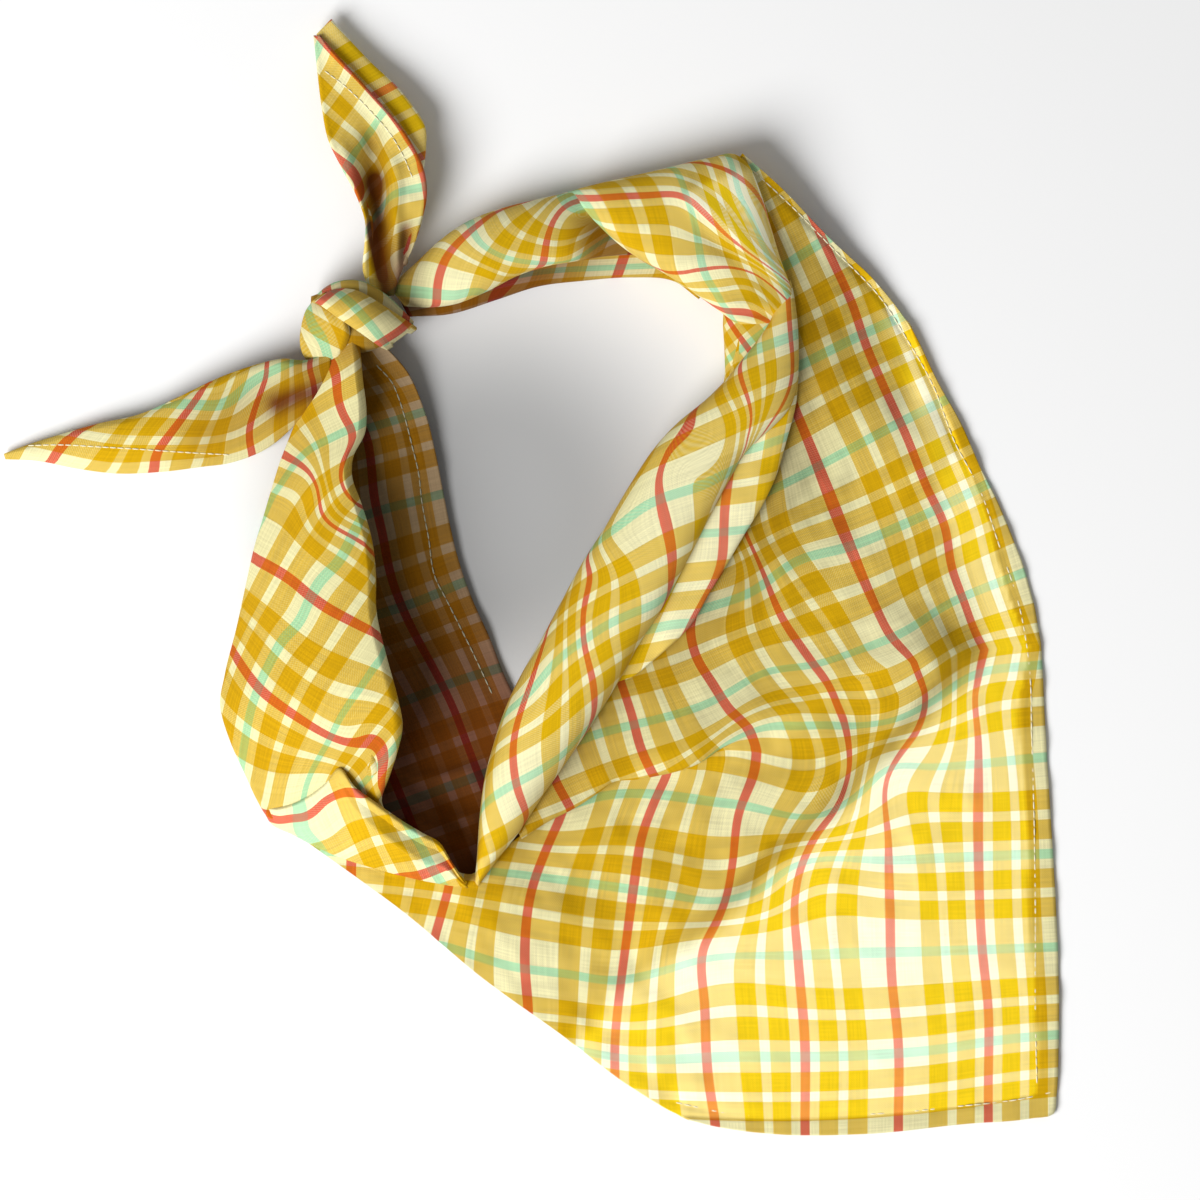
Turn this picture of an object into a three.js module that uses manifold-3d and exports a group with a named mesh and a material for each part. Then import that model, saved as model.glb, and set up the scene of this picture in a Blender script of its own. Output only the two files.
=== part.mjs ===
// A square cotton bandana, folded corner to corner, rolled along the fold and tied at its two long
// ends. It lies on a table: the neck loop stands up as a soft roll, the free corner spreads out to
// the lower right, and the two tied ends reach away from the knot. Millimetres, +Z up.

import * as THREE from 'three';
import { mergeVertices } from 'three/addons/utils/BufferGeometryUtils.js';
import Module from 'manifold-3d';

// Driving sizes.
const CLOTH = 1.5; // thickness of a sheet, two layers of shirting lying loosely on each other
const FOLD_RADIUS = 2.6; // how round the cloth turns where it folds under
const TAIL_TURN = 1.3; // the same on the narrow tied ends
const APRON_SAG = 2.4; // how soon the free corner comes down to the table, 1 being a straight slope

// How finely each run of cloth is divided, along its length and across it.
const STEPS = {
  apron: [34, 15],
  fold: [12, 2],
  front: [22, 6],
  back: [8, 3],
  roll: [38, 12],
  tail: [12, 5],
  wrap: [7, 3],
};

// Each run of cloth is a row of stations. A station gives the two edges of the cloth, each as
// x, y and its height, and the crown: how far the middle stands above a straight line between them.
const station = (left, right, crown = 0, tuckLeft = 0, tuckRight = 0) => {
  return { left, right, crown, tuckLeft, tuckRight };
};

// The free corner: its left edge runs under the roll, its right edge along the hem, round the
// corner and up the folded side.
const APRON = [
  station([63, 122, 10], [67, 123, 6]),
  station([67, 110, 10], [86, 104.5, 2.5]),
  station([71, 92, 11], [104, 87, 1]),
  station([70, 70, 12], [121.5, 57, 0.6]),
  station([64, 45, 12], [135.5, 30, 0.6]),
  station([52, 15, 11], [147, 0, 0.6]),
  station([36, -15, 10], [152, -30, 0.6]),
  station([22, -38, 9], [154.8, -65, 0.6]),
  station([10, -54, 8], [156.8, -100, 0.6]),
  station([2, -64, 7], [157.3, -135, 0.6]),
  station([-2, -68, 7], [156.8, -152, 0.6]),
  station([-4, -70, 7], [155.3, -160, 0.6]),
  station([-6, -72, 7], [147, -162, 0.6]),
  station([-10, -76, 7], [120, -165.2, 0.6]),
  station([-13, -80, 7], [85, -166.3, 0.6]),
  station([-17, -83, 7], [54, -163, 1]),
  station([-25, -85, 6.5], [24, -147.5, 1.7], 1),
  station([-35, -84, 6.5], [0, -131, 1.7], 1.5),
  station([-46, -82, 6.5], [-30, -108, 1.7], 1.5),
  station([-58, -79, 6.5], [-58, -88, 1.7], 0.5),
  station([-70, -74, 6], [-77, -76.5, 1.8]),
];

// The layer turned under along the folded side of the free corner, from that side inwards.
const UNDER_FOLD = [
  station([50, -162, 0.6], [50, -155, 0.6]),
  station([24, -147.5, 0.6], [35, -130, 0.6]),
  station([0, -131, 0.6], [10, -112, 0.6]),
  station([-30, -108, 0.6], [-18, -92, 0.6]),
  station([-58, -88, 0.6], [-48, -78, 0.6]),
  station([-77, -76.5, 0.6], [-70, -70, 0.6]),
];

// Ridges that cross the free corner. The lift is steep on one side of the line and easy on the other.
const APRON_FOLDS = [
  { from: [146, -18], to: [20, -133], lift: 8, leftWidth: 14, rightWidth: 32 },
  { from: [142, -22], to: [0, -73], lift: 4, leftWidth: 24, rightWidth: 12 },
  { from: [132, 28], to: [84, 64], lift: 2.5, leftWidth: 14, rightWidth: 14 },
  { from: [60, -112], to: [-40, -93], lift: 3, leftWidth: 16, rightWidth: 14 },
];

// The front of the left arm, from under the knot down to the lip that ends at the neck's point.
const FRONT = [
  station([-60, 70, 11], [-50, 73, 14], 1, 3, 2),
  station([-65.5, 55, 7], [-50, 58, 15], 3, 8, 4),
  station([-73, 40, 5], [-49, 45, 17], 5, 14, 5),
  station([-78, 28, 4.6], [-55, 31, 20], 5, 16, 6),
  station([-83, 12, 4.4], [-48.5, 13, 23], 6, 20, 7),
  station([-88, -8, 4.4], [-45.5, -4, 25], 6, 24, 8),
  station([-93, -28, 4.4], [-43, -25, 27], 6, 26, 8),
  station([-92.5, -45, 4.4], [-39, -43, 28], 4, 26, 7),
  station([-87, -60, 4.6], [-42.5, -57, 27], 1, 24, 6),
  station([-79.5, -72.5, 5.5], [-49, -65, 25.5], -2, 16, 5),
  station([-62, -82.5, 6.5], [-40, -71.5, 23], -1, 10, 5),
  station([-42, -89.5, 6.5], [-30, -79, 19], 0, 8, 4),
  station([-19, -93, 6], [-17, -89, 13], 0, 3, 2),
];

// The layer that lies under the left arm, with its hem towards the neck.
const BACK = [
  station([-56, 72, 9], [-45, 70, 11]),
  station([-62, 50, 3], [-33, 51, 5], 1),
  station([-70, 28, 1.4], [-27.5, 27, 3.4], 1.5),
  station([-78, 5, 0.6], [-22, 5, 2.6], 1.5),
  station([-84, -18, 0.6], [-14, -17, 2], 1),
  station([-86, -40, 0.6], [-4, -38, 1.2], 0.5),
  station([-80, -60, 0.6], [6, -57, 0.6]),
  station([-62, -80, 0.6], [10, -70, 0.6]),
  station([-44, -91, 0.6], [6, -84, 0.6]),
];

// The roll round the neck, from the knot to the top corner, round it and down to the point.
// The two heights are its underside and its top.
const roll = (outer, inner, under, top) => ({ outer, inner, under, top });
const NECK_ROLL = [
  roll([-49, 82], [-46, 76], 7, 16),
  roll([-40, 90], [-33, 79], 4, 17),
  roll([-29.5, 101], [-19, 80.5], 1.5, 19),
  roll([-15.5, 109], [-5, 84], -0.6, 20),
  roll([-0.5, 113.5], [9, 86.5], -0.6, 20),
  roll([13.5, 116.5], [24, 88], -0.6, 18.5),
  roll([28.5, 120], [38, 89], -0.6, 20),
  roll([45, 123.5], [49.5, 84], -0.6, 21),
  roll([61, 128], [57.5, 79], -0.6, 20),
  roll([69.5, 114], [58.5, 76], -0.6, 20),
  roll([76, 96.5], [58.5, 72], -0.6, 19.5),
  roll([80.5, 80], [57, 66.5], -0.6, 20),
  roll([81.5, 60], [54, 57.5], -0.6, 21),
  roll([77, 39.5], [41, 46], -0.6, 22),
  roll([69, 19], [27.5, 27], -0.6, 22),
  roll([55.5, -1], [15.5, 6], -0.6, 22),
  roll([40, -19], [5.5, -13], -0.6, 22),
  roll([26, -36], [-4.5, -32], -0.6, 21),
  roll([10.5, -54.5], [-12, -52.5], -0.6, 19),
  roll([-1, -69.5], [-16, -70], -0.6, 17),
  roll([-12, -86], [-17.5, -87], 2, 13),
];
const TABLE_BLOCK = { width: 600, depth: 60 }; // larger than the bandana each way
const ROLL_SQUARENESS = 2.5; // 2 is an ellipse, and more is fuller at the shoulders
const ROLL_TWISTS = 2.2; // turns that the folds of the roll make along it
const ROLL_FOLDS = 3; // folds side by side round the roll
const ROLL_FOLD_DEPTH = 0.06; // of the roll's own half width

// The two passes of cloth that show on the knot, over a lump that fills it.
const KNOT_LUMP = { centre: [-54, 77, 12.5], reach: [13, 10, 10.5], turn: -0.45 };
const UPPER_WRAP = [
  station([-61, 86, 6], [-66, 80, 6], 1),
  station([-58, 88, 15], [-63.5, 81.5, 16], 2),
  station([-50.5, 88, 21], [-57, 77.5, 22.5], 2.5),
  station([-42.5, 83.5, 22], [-50.5, 73.5, 23.5], 2.5),
  station([-36, 78.5, 18], [-45.5, 69.5, 19], 2),
  station([-34.5, 76.5, 9], [-44.5, 68.5, 9], 1),
];
const LOWER_WRAP = [
  station([-62, 85, 14], [-55, 80, 18], 1),
  station([-67.5, 79.5, 13], [-54.5, 76, 20], 2),
  station([-69.5, 72, 12], [-55, 71, 19], 2),
  station([-68.5, 66.5, 9], [-58, 65.5, 14], 1.5),
  station([-64, 63, 5], [-58, 62, 8], 1),
];

// The two tied ends. Each is folded along its length, so the cloth turns under at one edge or both.
const UPPER_TAIL = [
  station([-49.5, 84, 13], [-42, 84, 13], 1, 4, 3),
  station([-51, 97, 12.5], [-37.5, 97, 14], -3, 5, 4),
  station([-51.5, 109, 12], [-32, 109, 14], -5.5, 6, 5),
  station([-58, 124, 10], [-32, 122, 14], -5, 6, 6),
  station([-63, 140, 8], [-34, 138.5, 13], -2, 5, 6),
  station([-64.5, 153, 6.5], [-47, 152, 10], -0.5, 3, 4),
  station([-65, 162, 5.5], [-59.5, 167, 7.5], 0, 1.5, 1.5),
];
const SIDE_TAIL = [
  station([-60, 69, 12], [-60, 58, 10], 1, 3, 3),
  station([-75, 65.5, 11], [-71, 46.5, 6], 2, 6, 6),
  station([-90, 61, 9], [-82, 38, 3.2], 3.5, 8, 8),
  station([-107, 53, 7], [-98, 33, 2.4], 4, 8, 8),
  station([-125, 46.5, 5], [-115, 31, 2.2], 3, 6, 6),
  station([-143, 42, 3.4], [-136, 32.5, 2.2], 1.5, 3, 3),
  station([-158.5, 37.8, 2.2], [-157.5, 35, 2.1], 0, 0.8, 0.8),
];

const wasm = await Module();
wasm.setup();

// A smooth curve through one part of every station, read by a number from 0 to 1.
function throughStations(stations, pick) {
  return new THREE.CatmullRomCurve3(stations.map(pick), false, 'centripetal');
}

// The lift that a list of folds gives at a place on the table. Each fades to nothing at its ends.
function foldLift(folds, place) {
  let lift = 0;
  for (const fold of folds) {
    const along = new THREE.Vector2(fold.to[0] - fold.from[0], fold.to[1] - fold.from[1]);
    const length = along.length();
    along.divideScalar(length);
    const offset = new THREE.Vector2(place.x - fold.from[0], place.y - fold.from[1]);
    const share = offset.dot(along) / length;
    if (share <= 0 || share >= 1) continue;
    const side = along.cross(offset); // positive to the left of the line
    const width = side > 0 ? fold.leftWidth : fold.rightWidth;
    const fall = Math.exp(-2 * (side / width) ** 2);
    lift += fold.lift * Math.sin(Math.PI * share) ** 0.6 * fall;
  }
  return lift;
}

// One line of points across a run of cloth. It turns under at an edge that has a tuck.
function lineAcross(left, right, shape, steps, { radius, folds, sag }) {
  const span = new THREE.Vector3(right.x - left.x, right.y - left.y, 0);
  const width = span.length();
  span.divideScalar(width);
  const r = Math.min(radius, width / 4);
  const turnLeft = shape.tuckLeft > 0.5 ? r : 0;
  const turnRight = shape.tuckRight > 0.5 ? r : 0;
  const at = (distance, height) => new THREE.Vector3(left.x, left.y, height).addScaledVector(span, distance);
  const points = [];
  const turn = (edge, inwards, edgeHeight, tuck, rising) => {
    const bend = [0, 0.33, 0.67].map((share) => share * Math.PI); // from underneath round to the top
    const made = [at(edge + inwards * (r + tuck), edgeHeight - r)];
    for (const angle of bend) {
      const out = r * (1 - Math.sin(angle));
      made.push(at(edge + inwards * out, edgeHeight - r * Math.cos(angle)));
    }
    return rising ? made : made.reverse();
  };
  if (turnLeft) points.push(...turn(0, 1, left.z, shape.tuckLeft, true));
  for (let k = 0; k <= steps; k += 1) {
    const share = k / steps;
    const distance = THREE.MathUtils.lerp(turnLeft, width - turnRight, share);
    const across = distance / width;
    const edges = THREE.MathUtils.lerp(right.z + turnRight, left.z + turnLeft, (1 - share) ** sag);
    const point = at(distance, edges + shape.crown * 4 * across * (1 - across));
    const held = Math.cos(Math.PI * Math.max(0, across - 0.5)) ** 0.5; // flat again at the right edge
    point.z += foldLift(folds, point) * held;
    points.push(point);
  }
  if (turnRight) points.push(...turn(width, -1, right.z, shape.tuckRight, false));
  return points;
}

// Every line across a run of cloth. Tucks are kept on all lines or on none, so that each line has
// the same number of points.
function clothLines(stations, [alongSteps, acrossSteps], hang) {
  const leftEdge = throughStations(stations, (s) => new THREE.Vector3(...s.left));
  const rightEdge = throughStations(stations, (s) => new THREE.Vector3(...s.right));
  const shapes = throughStations(stations, (s) => new THREE.Vector3(s.crown, s.tuckLeft, s.tuckRight));
  const hasTuck = [1, 2].map((k) => stations.some((s) => (k === 1 ? s.tuckLeft : s.tuckRight) > 0));
  const lines = [];
  for (let k = 0; k <= alongSteps; k += 1) {
    const t = k / alongSteps;
    const values = shapes.getPoint(t);
    const shape = {
      crown: values.x,
      tuckLeft: hasTuck[0] ? Math.max(0.6, values.y) : 0,
      tuckRight: hasTuck[1] ? Math.max(0.6, values.z) : 0,
    };
    lines.push(lineAcross(leftEdge.getPoint(t), rightEdge.getPoint(t), shape, acrossSteps, hang));
  }
  return lines;
}

// Offsets a grid of points to both sides, so that each line becomes a closed ring.
function thicken(lines, thickness) {
  const last = lines.length - 1;
  return lines.map((line, i) => {
    const end = line.length - 1;
    const normals = line.map((_, j) => {
      const down = lines[Math.min(i + 1, last)][j].clone().sub(lines[Math.max(i - 1, 0)][j]);
      const across = line[Math.min(j + 1, end)].clone().sub(line[Math.max(j - 1, 0)]);
      return across.cross(down).normalize();
    });
    const side = (sign) => line.map((p, j) => p.clone().addScaledVector(normals[j], (sign * thickness) / 2));
    return [...side(1), ...side(-1).reverse()];
  });
}

// The closed solid between a row of rings that all have the same number of points.
function skin(rings) {
  const size = rings[0].length;
  const triangles = [];
  const quad = (a, b, c, d) => triangles.push(a, b, c, a, c, d);
  for (let i = 0; i + 1 < rings.length; i += 1) {
    for (let j = 0; j < size; j += 1) {
      const next = (j + 1) % size;
      quad(i * size + j, i * size + next, (i + 1) * size + next, (i + 1) * size + j);
    }
  }
  const cap = (start, flip) => {
    for (let j = 0; j < size / 2 - 1; j += 1) {
      const corners = [j, j + 1, size - 2 - j, size - 1 - j].map((k) => start + k);
      if (flip) corners.reverse();
      quad(...corners);
    }
  };
  cap(0, true);
  cap((rings.length - 1) * size, false);
  const geometry = new THREE.BufferGeometry();
  geometry.setAttribute('position', new THREE.Float32BufferAttribute(rings.flat().flatMap((p) => p.toArray()), 3));
  geometry.setIndex(triangles);
  return toSolid(geometry);
}

// A manifold solid of a closed geometry, with its faces turned outwards.
function toSolid(geometry) {
  const bare = geometry.clone();
  bare.deleteAttribute('normal');
  bare.deleteAttribute('uv');
  const merged = mergeVertices(bare, 1e-4);
  const vertProperties = merged.attributes.position.array;
  const triVerts = new Uint32Array(merged.index.array);
  const make = () => new wasm.Manifold(new wasm.Mesh({ numProp: 3, vertProperties, triVerts }));
  const solid = make();
  if (solid.volume() > 0) return solid;
  triVerts.reverse();
  return make();
}

// A run of cloth as a sheet of even thickness. How it hangs is its turning radius at a fold, the
// folds that cross it and how soon it comes down from its left edge.
function cloth(stations, steps, radius = 0, folds = [], sag = 1) {
  return skin(thicken(clothLines(stations, steps, { radius, folds, sag }), CLOTH));
}

// The roll: full round sections between its outer and inner side, with folds that wind round it.
function neckRoll() {
  const outer = throughStations(NECK_ROLL, (s) => new THREE.Vector3(...s.outer, s.under));
  const inner = throughStations(NECK_ROLL, (s) => new THREE.Vector3(...s.inner, s.top));
  const [alongSteps, aroundSteps] = STEPS.roll;
  const rings = [];
  for (let k = 0; k <= alongSteps; k += 1) {
    const t = k / alongSteps;
    const a = outer.getPoint(t);
    const b = inner.getPoint(t);
    const middle = new THREE.Vector3((a.x + b.x) / 2, (a.y + b.y) / 2, (a.z + b.z) / 2);
    const half = new THREE.Vector3((a.x - b.x) / 2, (a.y - b.y) / 2, 0);
    const rise = (b.z - a.z) / 2;
    const ring = [];
    for (let n = 0; n < aroundSteps; n += 1) {
      const angle = (n / aroundSteps) * 2 * Math.PI;
      const wave = Math.cos(ROLL_FOLDS * angle - 2 * Math.PI * ROLL_TWISTS * t);
      const swell = 1 - ROLL_FOLD_DEPTH * (0.5 - 0.5 * wave);
      const power = 2 / ROLL_SQUARENESS;
      const sideways = Math.sign(Math.cos(angle)) * Math.abs(Math.cos(angle)) ** power * swell;
      const upwards = Math.sign(Math.sin(angle)) * Math.abs(Math.sin(angle)) ** power * swell;
      ring.push(middle.clone().addScaledVector(half, sideways).add(new THREE.Vector3(0, 0, rise * upwards)));
    }
    rings.push(ring);
  }
  return skin(rings);
}

// The lump of cloth inside the knot.
function knotLump() {
  const lump = new THREE.SphereGeometry(1, 14, 10);
  lump.scale(...KNOT_LUMP.reach);
  lump.rotateZ(KNOT_LUMP.turn);
  lump.translate(...KNOT_LUMP.centre);
  return toSolid(lump);
}

// A deep block under the table top, to trim what would hang below it.
function underTable() {
  const { width, depth } = TABLE_BLOCK;
  const block = new THREE.BoxGeometry(width, width, depth);
  block.translate(0, 0, -depth / 2);
  return toSolid(block);
}

// The whole bandana as one body: every run of cloth joined, trimmed flat where it rests.
function bandana() {
  const runs = [
    cloth(APRON, STEPS.apron, 0, APRON_FOLDS, APRON_SAG),
    cloth(UNDER_FOLD, STEPS.fold),
    cloth(FRONT, STEPS.front, FOLD_RADIUS),
    cloth(BACK, STEPS.back),
    neckRoll(),
    knotLump(),
    cloth(UPPER_WRAP, STEPS.wrap, TAIL_TURN),
    cloth(LOWER_WRAP, STEPS.wrap, TAIL_TURN),
    cloth(UPPER_TAIL, STEPS.tail, TAIL_TURN),
    cloth(SIDE_TAIL, STEPS.tail, TAIL_TURN),
  ];
  const joined = runs.reduce((whole, run) => whole.add(run)).subtract(underTable());
  const shells = joined.decompose().sort((a, b) => b.volume() - a.volume());
  const mesh = shells[0].getMesh(); // the outer skin, so that no air is shut in where runs meet
  const geometry = new THREE.BufferGeometry();
  geometry.setAttribute('position', new THREE.BufferAttribute(mesh.vertProperties, 3));
  geometry.setIndex(new THREE.BufferAttribute(mesh.triVerts, 1));
  geometry.computeBoundingBox();
  const centre = geometry.boundingBox.getCenter(new THREE.Vector3());
  geometry.translate(-centre.x, -centre.y, 0);
  geometry.computeVertexNormals();
  return geometry;
}

const yellowCheck = new THREE.MeshStandardMaterial({ color: 0xe3c86f, roughness: 0.88, metalness: 0 });

const part = new THREE.Group();
const square = new THREE.Mesh(bandana(), yellowCheck);
square.name = 'bandana';
part.add(square);

export default part;
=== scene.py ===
"""Dresses the folded cotton bandana: its cloth as thin folded sheets, its hems and its stitching.

Plan sizes are millimetres as the bandana lies on the table, x to the right and y away from the
viewer, and every piece is moved into the frame's metres when its mesh is made.
"""

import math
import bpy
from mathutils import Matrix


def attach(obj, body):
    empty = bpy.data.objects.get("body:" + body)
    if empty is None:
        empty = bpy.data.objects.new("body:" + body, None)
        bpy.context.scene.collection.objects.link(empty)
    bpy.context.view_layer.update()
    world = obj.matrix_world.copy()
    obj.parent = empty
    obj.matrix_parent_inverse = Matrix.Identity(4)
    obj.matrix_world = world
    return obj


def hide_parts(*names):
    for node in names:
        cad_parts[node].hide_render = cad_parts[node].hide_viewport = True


bl_info = {
    "name": "Folded bandana",
    "version": (1, 0, 0),
    "blender": (4, 5, 0),
    "location": "3D View > Sidebar > Bandana",
    "description": "Makes the folded check bandana on its table",
    "category": "Add Mesh",
}

import bpy
import numpy as np

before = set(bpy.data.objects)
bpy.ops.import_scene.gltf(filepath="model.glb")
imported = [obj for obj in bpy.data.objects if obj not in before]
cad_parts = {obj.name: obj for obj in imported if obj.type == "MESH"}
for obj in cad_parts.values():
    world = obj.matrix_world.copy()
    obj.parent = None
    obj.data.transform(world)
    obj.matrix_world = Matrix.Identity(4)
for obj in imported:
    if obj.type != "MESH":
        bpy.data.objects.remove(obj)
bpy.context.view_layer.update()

MM = 0.001
PLAN_TO_FRAME = np.array([0.676, -0.537, 0.0])  # the part is centred on the table in the frame
REPEAT = 56.3  # the check repeats after this many millimetres of cloth
CLOTH_THICKNESS = 0.7
TABLE_GAP = 0.06  # how far above the table the cloth's underside lies
SETTLE = 0.3  # over this height a sheet comes to rest on the table
MESH_PITCH = 1.3  # distance between two lines of a mesh, where none is given
FAN_COLUMNS = 140  # lines of the mesh from the roll to the hem
STRIPE_STEP = REPEAT / 2  # from one coloured stripe to the next
RIGHT_HEM = -21.3  # the right hem's place in the cloth, counted from the first red stripe
LOWER_HEM = -23.4  # the lower hem's place, counted from the first mint stripe

# The threads of one repeat, from the middle of a coloured stripe: the thread and its width.
BANDS = (
    ("stripe", 1.5),
    ("cream", 2.7),
    ("mustard", 5.7),
    ("cream", 3.0),
    ("mustard", 5.7),
    ("cream", 7.9),
    ("stripe", 3.0),
    ("cream", 7.9),
    ("mustard", 5.7),
    ("cream", 3.0),
    ("mustard", 5.7),
    ("cream", 2.7),
    ("stripe", 1.5),
)


# Smooth curves and surfaces


def slopes(knots):
    """Matrix from knot values to their slopes: each is the parabola through a knot's neighbours."""
    n = len(knots)
    gap = np.diff(knots)
    step = np.zeros((n - 1, n))
    step[np.arange(n - 1), np.arange(n - 1)] = -1 / gap
    step[np.arange(n - 1), np.arange(1, n)] = 1 / gap
    made = np.zeros((n, n))
    made[0], made[-1] = step[0], step[-1]
    before, after = gap[:-1, None], gap[1:, None]
    made[1:-1] = (step[:-1] * after + step[1:] * before) / (before + after)
    return made


def curve_weights(knots, samples):
    """How much of each knot every sample takes: a cubic that meets the knots and their slopes."""
    knots = np.asarray(knots, float)
    slope = slopes(knots)
    span = np.clip(np.searchsorted(knots, samples, side="right") - 1, 0, len(knots) - 2)
    gap = knots[span + 1] - knots[span]
    t = (samples - knots[span]) / gap
    rows = np.arange(len(samples))
    made = np.zeros((len(samples), len(knots)))
    made[rows, span] = 2 * t**3 - 3 * t**2 + 1
    made[rows, span + 1] = 3 * t**2 - 2 * t**3
    made += ((t**3 - 2 * t**2 + t) * gap)[:, None] * slope[span]
    made += ((t**3 - t**2) * gap)[:, None] * slope[span + 1]
    return made


def chords(points):
    """Length along a row of points at each of them."""
    steps = np.linalg.norm(np.diff(points, axis=0), axis=-1)
    while steps.ndim > 1:
        steps = steps.mean(axis=-1)
    return np.concatenate([[0.0], np.cumsum(steps)])


def smooth_line(points, pitch):
    """Evenly spaced points on the smooth curve through the points."""
    points = np.asarray(points, float)
    knots = chords(points)
    fine = curve_weights(knots, np.linspace(0, knots[-1], len(points) * 12)) @ points
    length = chords(fine)
    count = max(2, int(round(length[-1] / pitch)) + 1)
    at = np.linspace(0, length[-1], count)
    return np.stack([np.interp(at, length, fine[:, k]) for k in range(fine.shape[1])], axis=1)


def stations_along(table, pitch):
    """The rows of a table, each an array of numbers, joined by smooth curves at an even pitch.

    The first six numbers are the two edges' places, and the mean of both edges sets the pitch.
    """
    rows = np.array([np.concatenate([np.ravel(part) for part in row]) for row in table], float)
    edges = rows[:, :6].reshape(-1, 2, 3)
    knots = chords(edges)
    count = max(8, int(round(knots[-1] / pitch)) + 1)
    return curve_weights(knots, np.linspace(0, knots[-1], count)) @ rows


def soften(grid, passes, axis):
    """Each line of a grid takes the mean of itself and its neighbours, a number of times."""
    grid = np.moveaxis(grid, axis, 0).copy()
    for _ in range(passes):
        grid[1:-1] = (grid[:-2] + 2 * grid[1:-1] + grid[2:]) / 4
    return np.moveaxis(grid, 0, axis)


def normals_of(grid):
    """Unit normals of a grid: the cross product of its steps across and along."""
    along = np.gradient(grid, axis=0)
    across = np.gradient(grid, axis=1)
    made = np.cross(across, along)
    made /= np.maximum(np.linalg.norm(made, axis=2, keepdims=True), 1e-9)
    return made


WAVES = 14  # plane waves in a ripple
WAVE_SPREAD = (0.6, 1.7)  # their lengths, as shares of the length given


def ripple(x, y, height, seed, length):
    """Small uneven waves: a sum of plane waves in seeded directions, about as high as given."""
    rng = np.random.default_rng(seed)
    total = np.zeros_like(x)
    for _ in range(WAVES):
        angle, phase = rng.uniform(0, 2 * math.pi, 2)
        size = length * rng.uniform(*WAVE_SPREAD)
        total += np.sin((x * math.cos(angle) + y * math.sin(angle)) * 2 * math.pi / size + phase)
    return height * (total / math.sqrt(WAVES / 2))


# Folds


def bell(away, width):
    """1 on the spot, and falling off to nothing past the width: exp(-(away / width) squared)."""
    return np.exp(-((away / width) ** 2))


def beside_line(x, y, line):
    """Each place's signed distance from a line, positive on its left, and its share along it."""
    points = smooth_line(line, pitch=3.0)
    best = np.full(x.shape, 1e9)
    side = np.zeros(x.shape)
    share = np.zeros(x.shape)
    length = chords(points)
    for k in range(len(points) - 1):
        start, step = points[k], points[k + 1] - points[k]
        size = math.hypot(*step)
        ox, oy = x - start[0], y - start[1]
        t = np.clip((ox * step[0] + oy * step[1]) / size**2, 0, 1)
        away = np.hypot(ox - t * step[0], oy - t * step[1])
        near = away < best
        turn = np.sign(step[0] * oy - step[1] * ox)
        best = np.where(near, away, best)
        side = np.where(near, turn, side)
        share = np.where(near, (length[k] + t * size) / length[-1], share)
    return best * np.where(side == 0, 1, side), share


def smooth_step(value):
    """Three squares less two cubes of the value, which is first held between 0 and 1."""
    value = np.clip(value, 0, 1)
    return value * value * (3 - 2 * value)


def smooth_rise(value, start, end):
    """A smooth rise from 0 at the start to 1 at the end, whichever of the two is the higher one."""
    return smooth_step((value - start) / (end - start))


def lift_of(x, y, folds):
    """Sum of the folds' lifts: each a bell across its line, wider on one side, faded at its ends.

    A fold is (lift, width on the left, width on the right, fade share, line).
    """
    total = np.zeros(x.shape)
    for lift, left, right, fade, line in folds:
        away, share = beside_line(x, y, line)
        width = np.where(away > 0, left, right)
        ends = smooth_step(share / fade) * smooth_step((1 - share) / fade)
        total += lift * bell(away, width) * ends
    return total


def shade_of(x, y, shades):
    """Sum of the painted shades: each a bell across its line. A shade is (how much darker it paints, width,
    line).
    """
    return sum(more * bell(beside_line(x, y, line)[0], width) for more, width, line in shades)


GROOVE_WIDTH = 1.1


def groove_of(x, y, depth, *lines):
    """The hollow that sewing pulls into the cloth: a bell across the nearest of the lines."""
    away = np.minimum.reduce([np.abs(beside_line(x, y, line)[0]) for line in lines])
    return depth * bell(away, GROOVE_WIDTH)


def fold_top(grid, folds, height, seed, length):
    """Adds folds and small waves to a run's upper side, and leaves what is turned under as it is."""
    x, y = grid[:, :, 0], grid[:, :, 1]
    up = smooth_step(normals_of(grid)[:, :, 2] * 2)
    grid[:, :, 2] += lift_of(x, y, folds) * up + ripple(x, y, height, seed, length) * up


# The cloth's own coordinates, from where its stripes lie


def thin_plate(marks, values, places, stiffness):
    """The smoothest surface that passes close to the marked values, read at every place."""

    def kernel(a, b):
        square = ((a[:, None] - b[None]) ** 2).sum(axis=2)
        return 0.5 * square * np.log(square + 1e-6)

    n = len(marks)
    system = np.zeros((n + 3, n + 3))
    system[:n, :n] = kernel(marks, marks) + stiffness * np.eye(n)
    system[:n, n] = system[n, :n] = 1
    system[:n, n + 1 :] = marks
    system[n + 1 :, :n] = marks.T
    solved = np.linalg.solve(system, np.concatenate([values, np.zeros(3)]))
    return kernel(places, marks) @ solved[:n] + solved[n] + places @ solved[n + 1 :]


def unrolled(grid):
    """Plan place of each point with its row laid flat, so that cloth that turns under keeps its size.

    Each row keeps its middle point's place, and the others go out from it by their length of cloth.
    """
    middle, reach = grid.shape[1] // 2, 3
    steps = np.linalg.norm(np.diff(grid, axis=1), axis=2)
    length = np.concatenate([np.zeros((len(grid), 1)), np.cumsum(steps, axis=1)], axis=1)
    length -= length[:, middle : middle + 1]
    near = np.clip([middle - reach, middle + reach], 0, grid.shape[1] - 1)
    across = grid[:, near[1], :2] - grid[:, near[0], :2]
    across /= np.maximum(np.linalg.norm(across, axis=1, keepdims=True), 1e-9)
    return grid[:, middle, None, :2] + length[:, :, None] * across[:, None, :]


LEAST_SEEN = 0.1  # a point whose normal looks up by more than this shows from above


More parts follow.
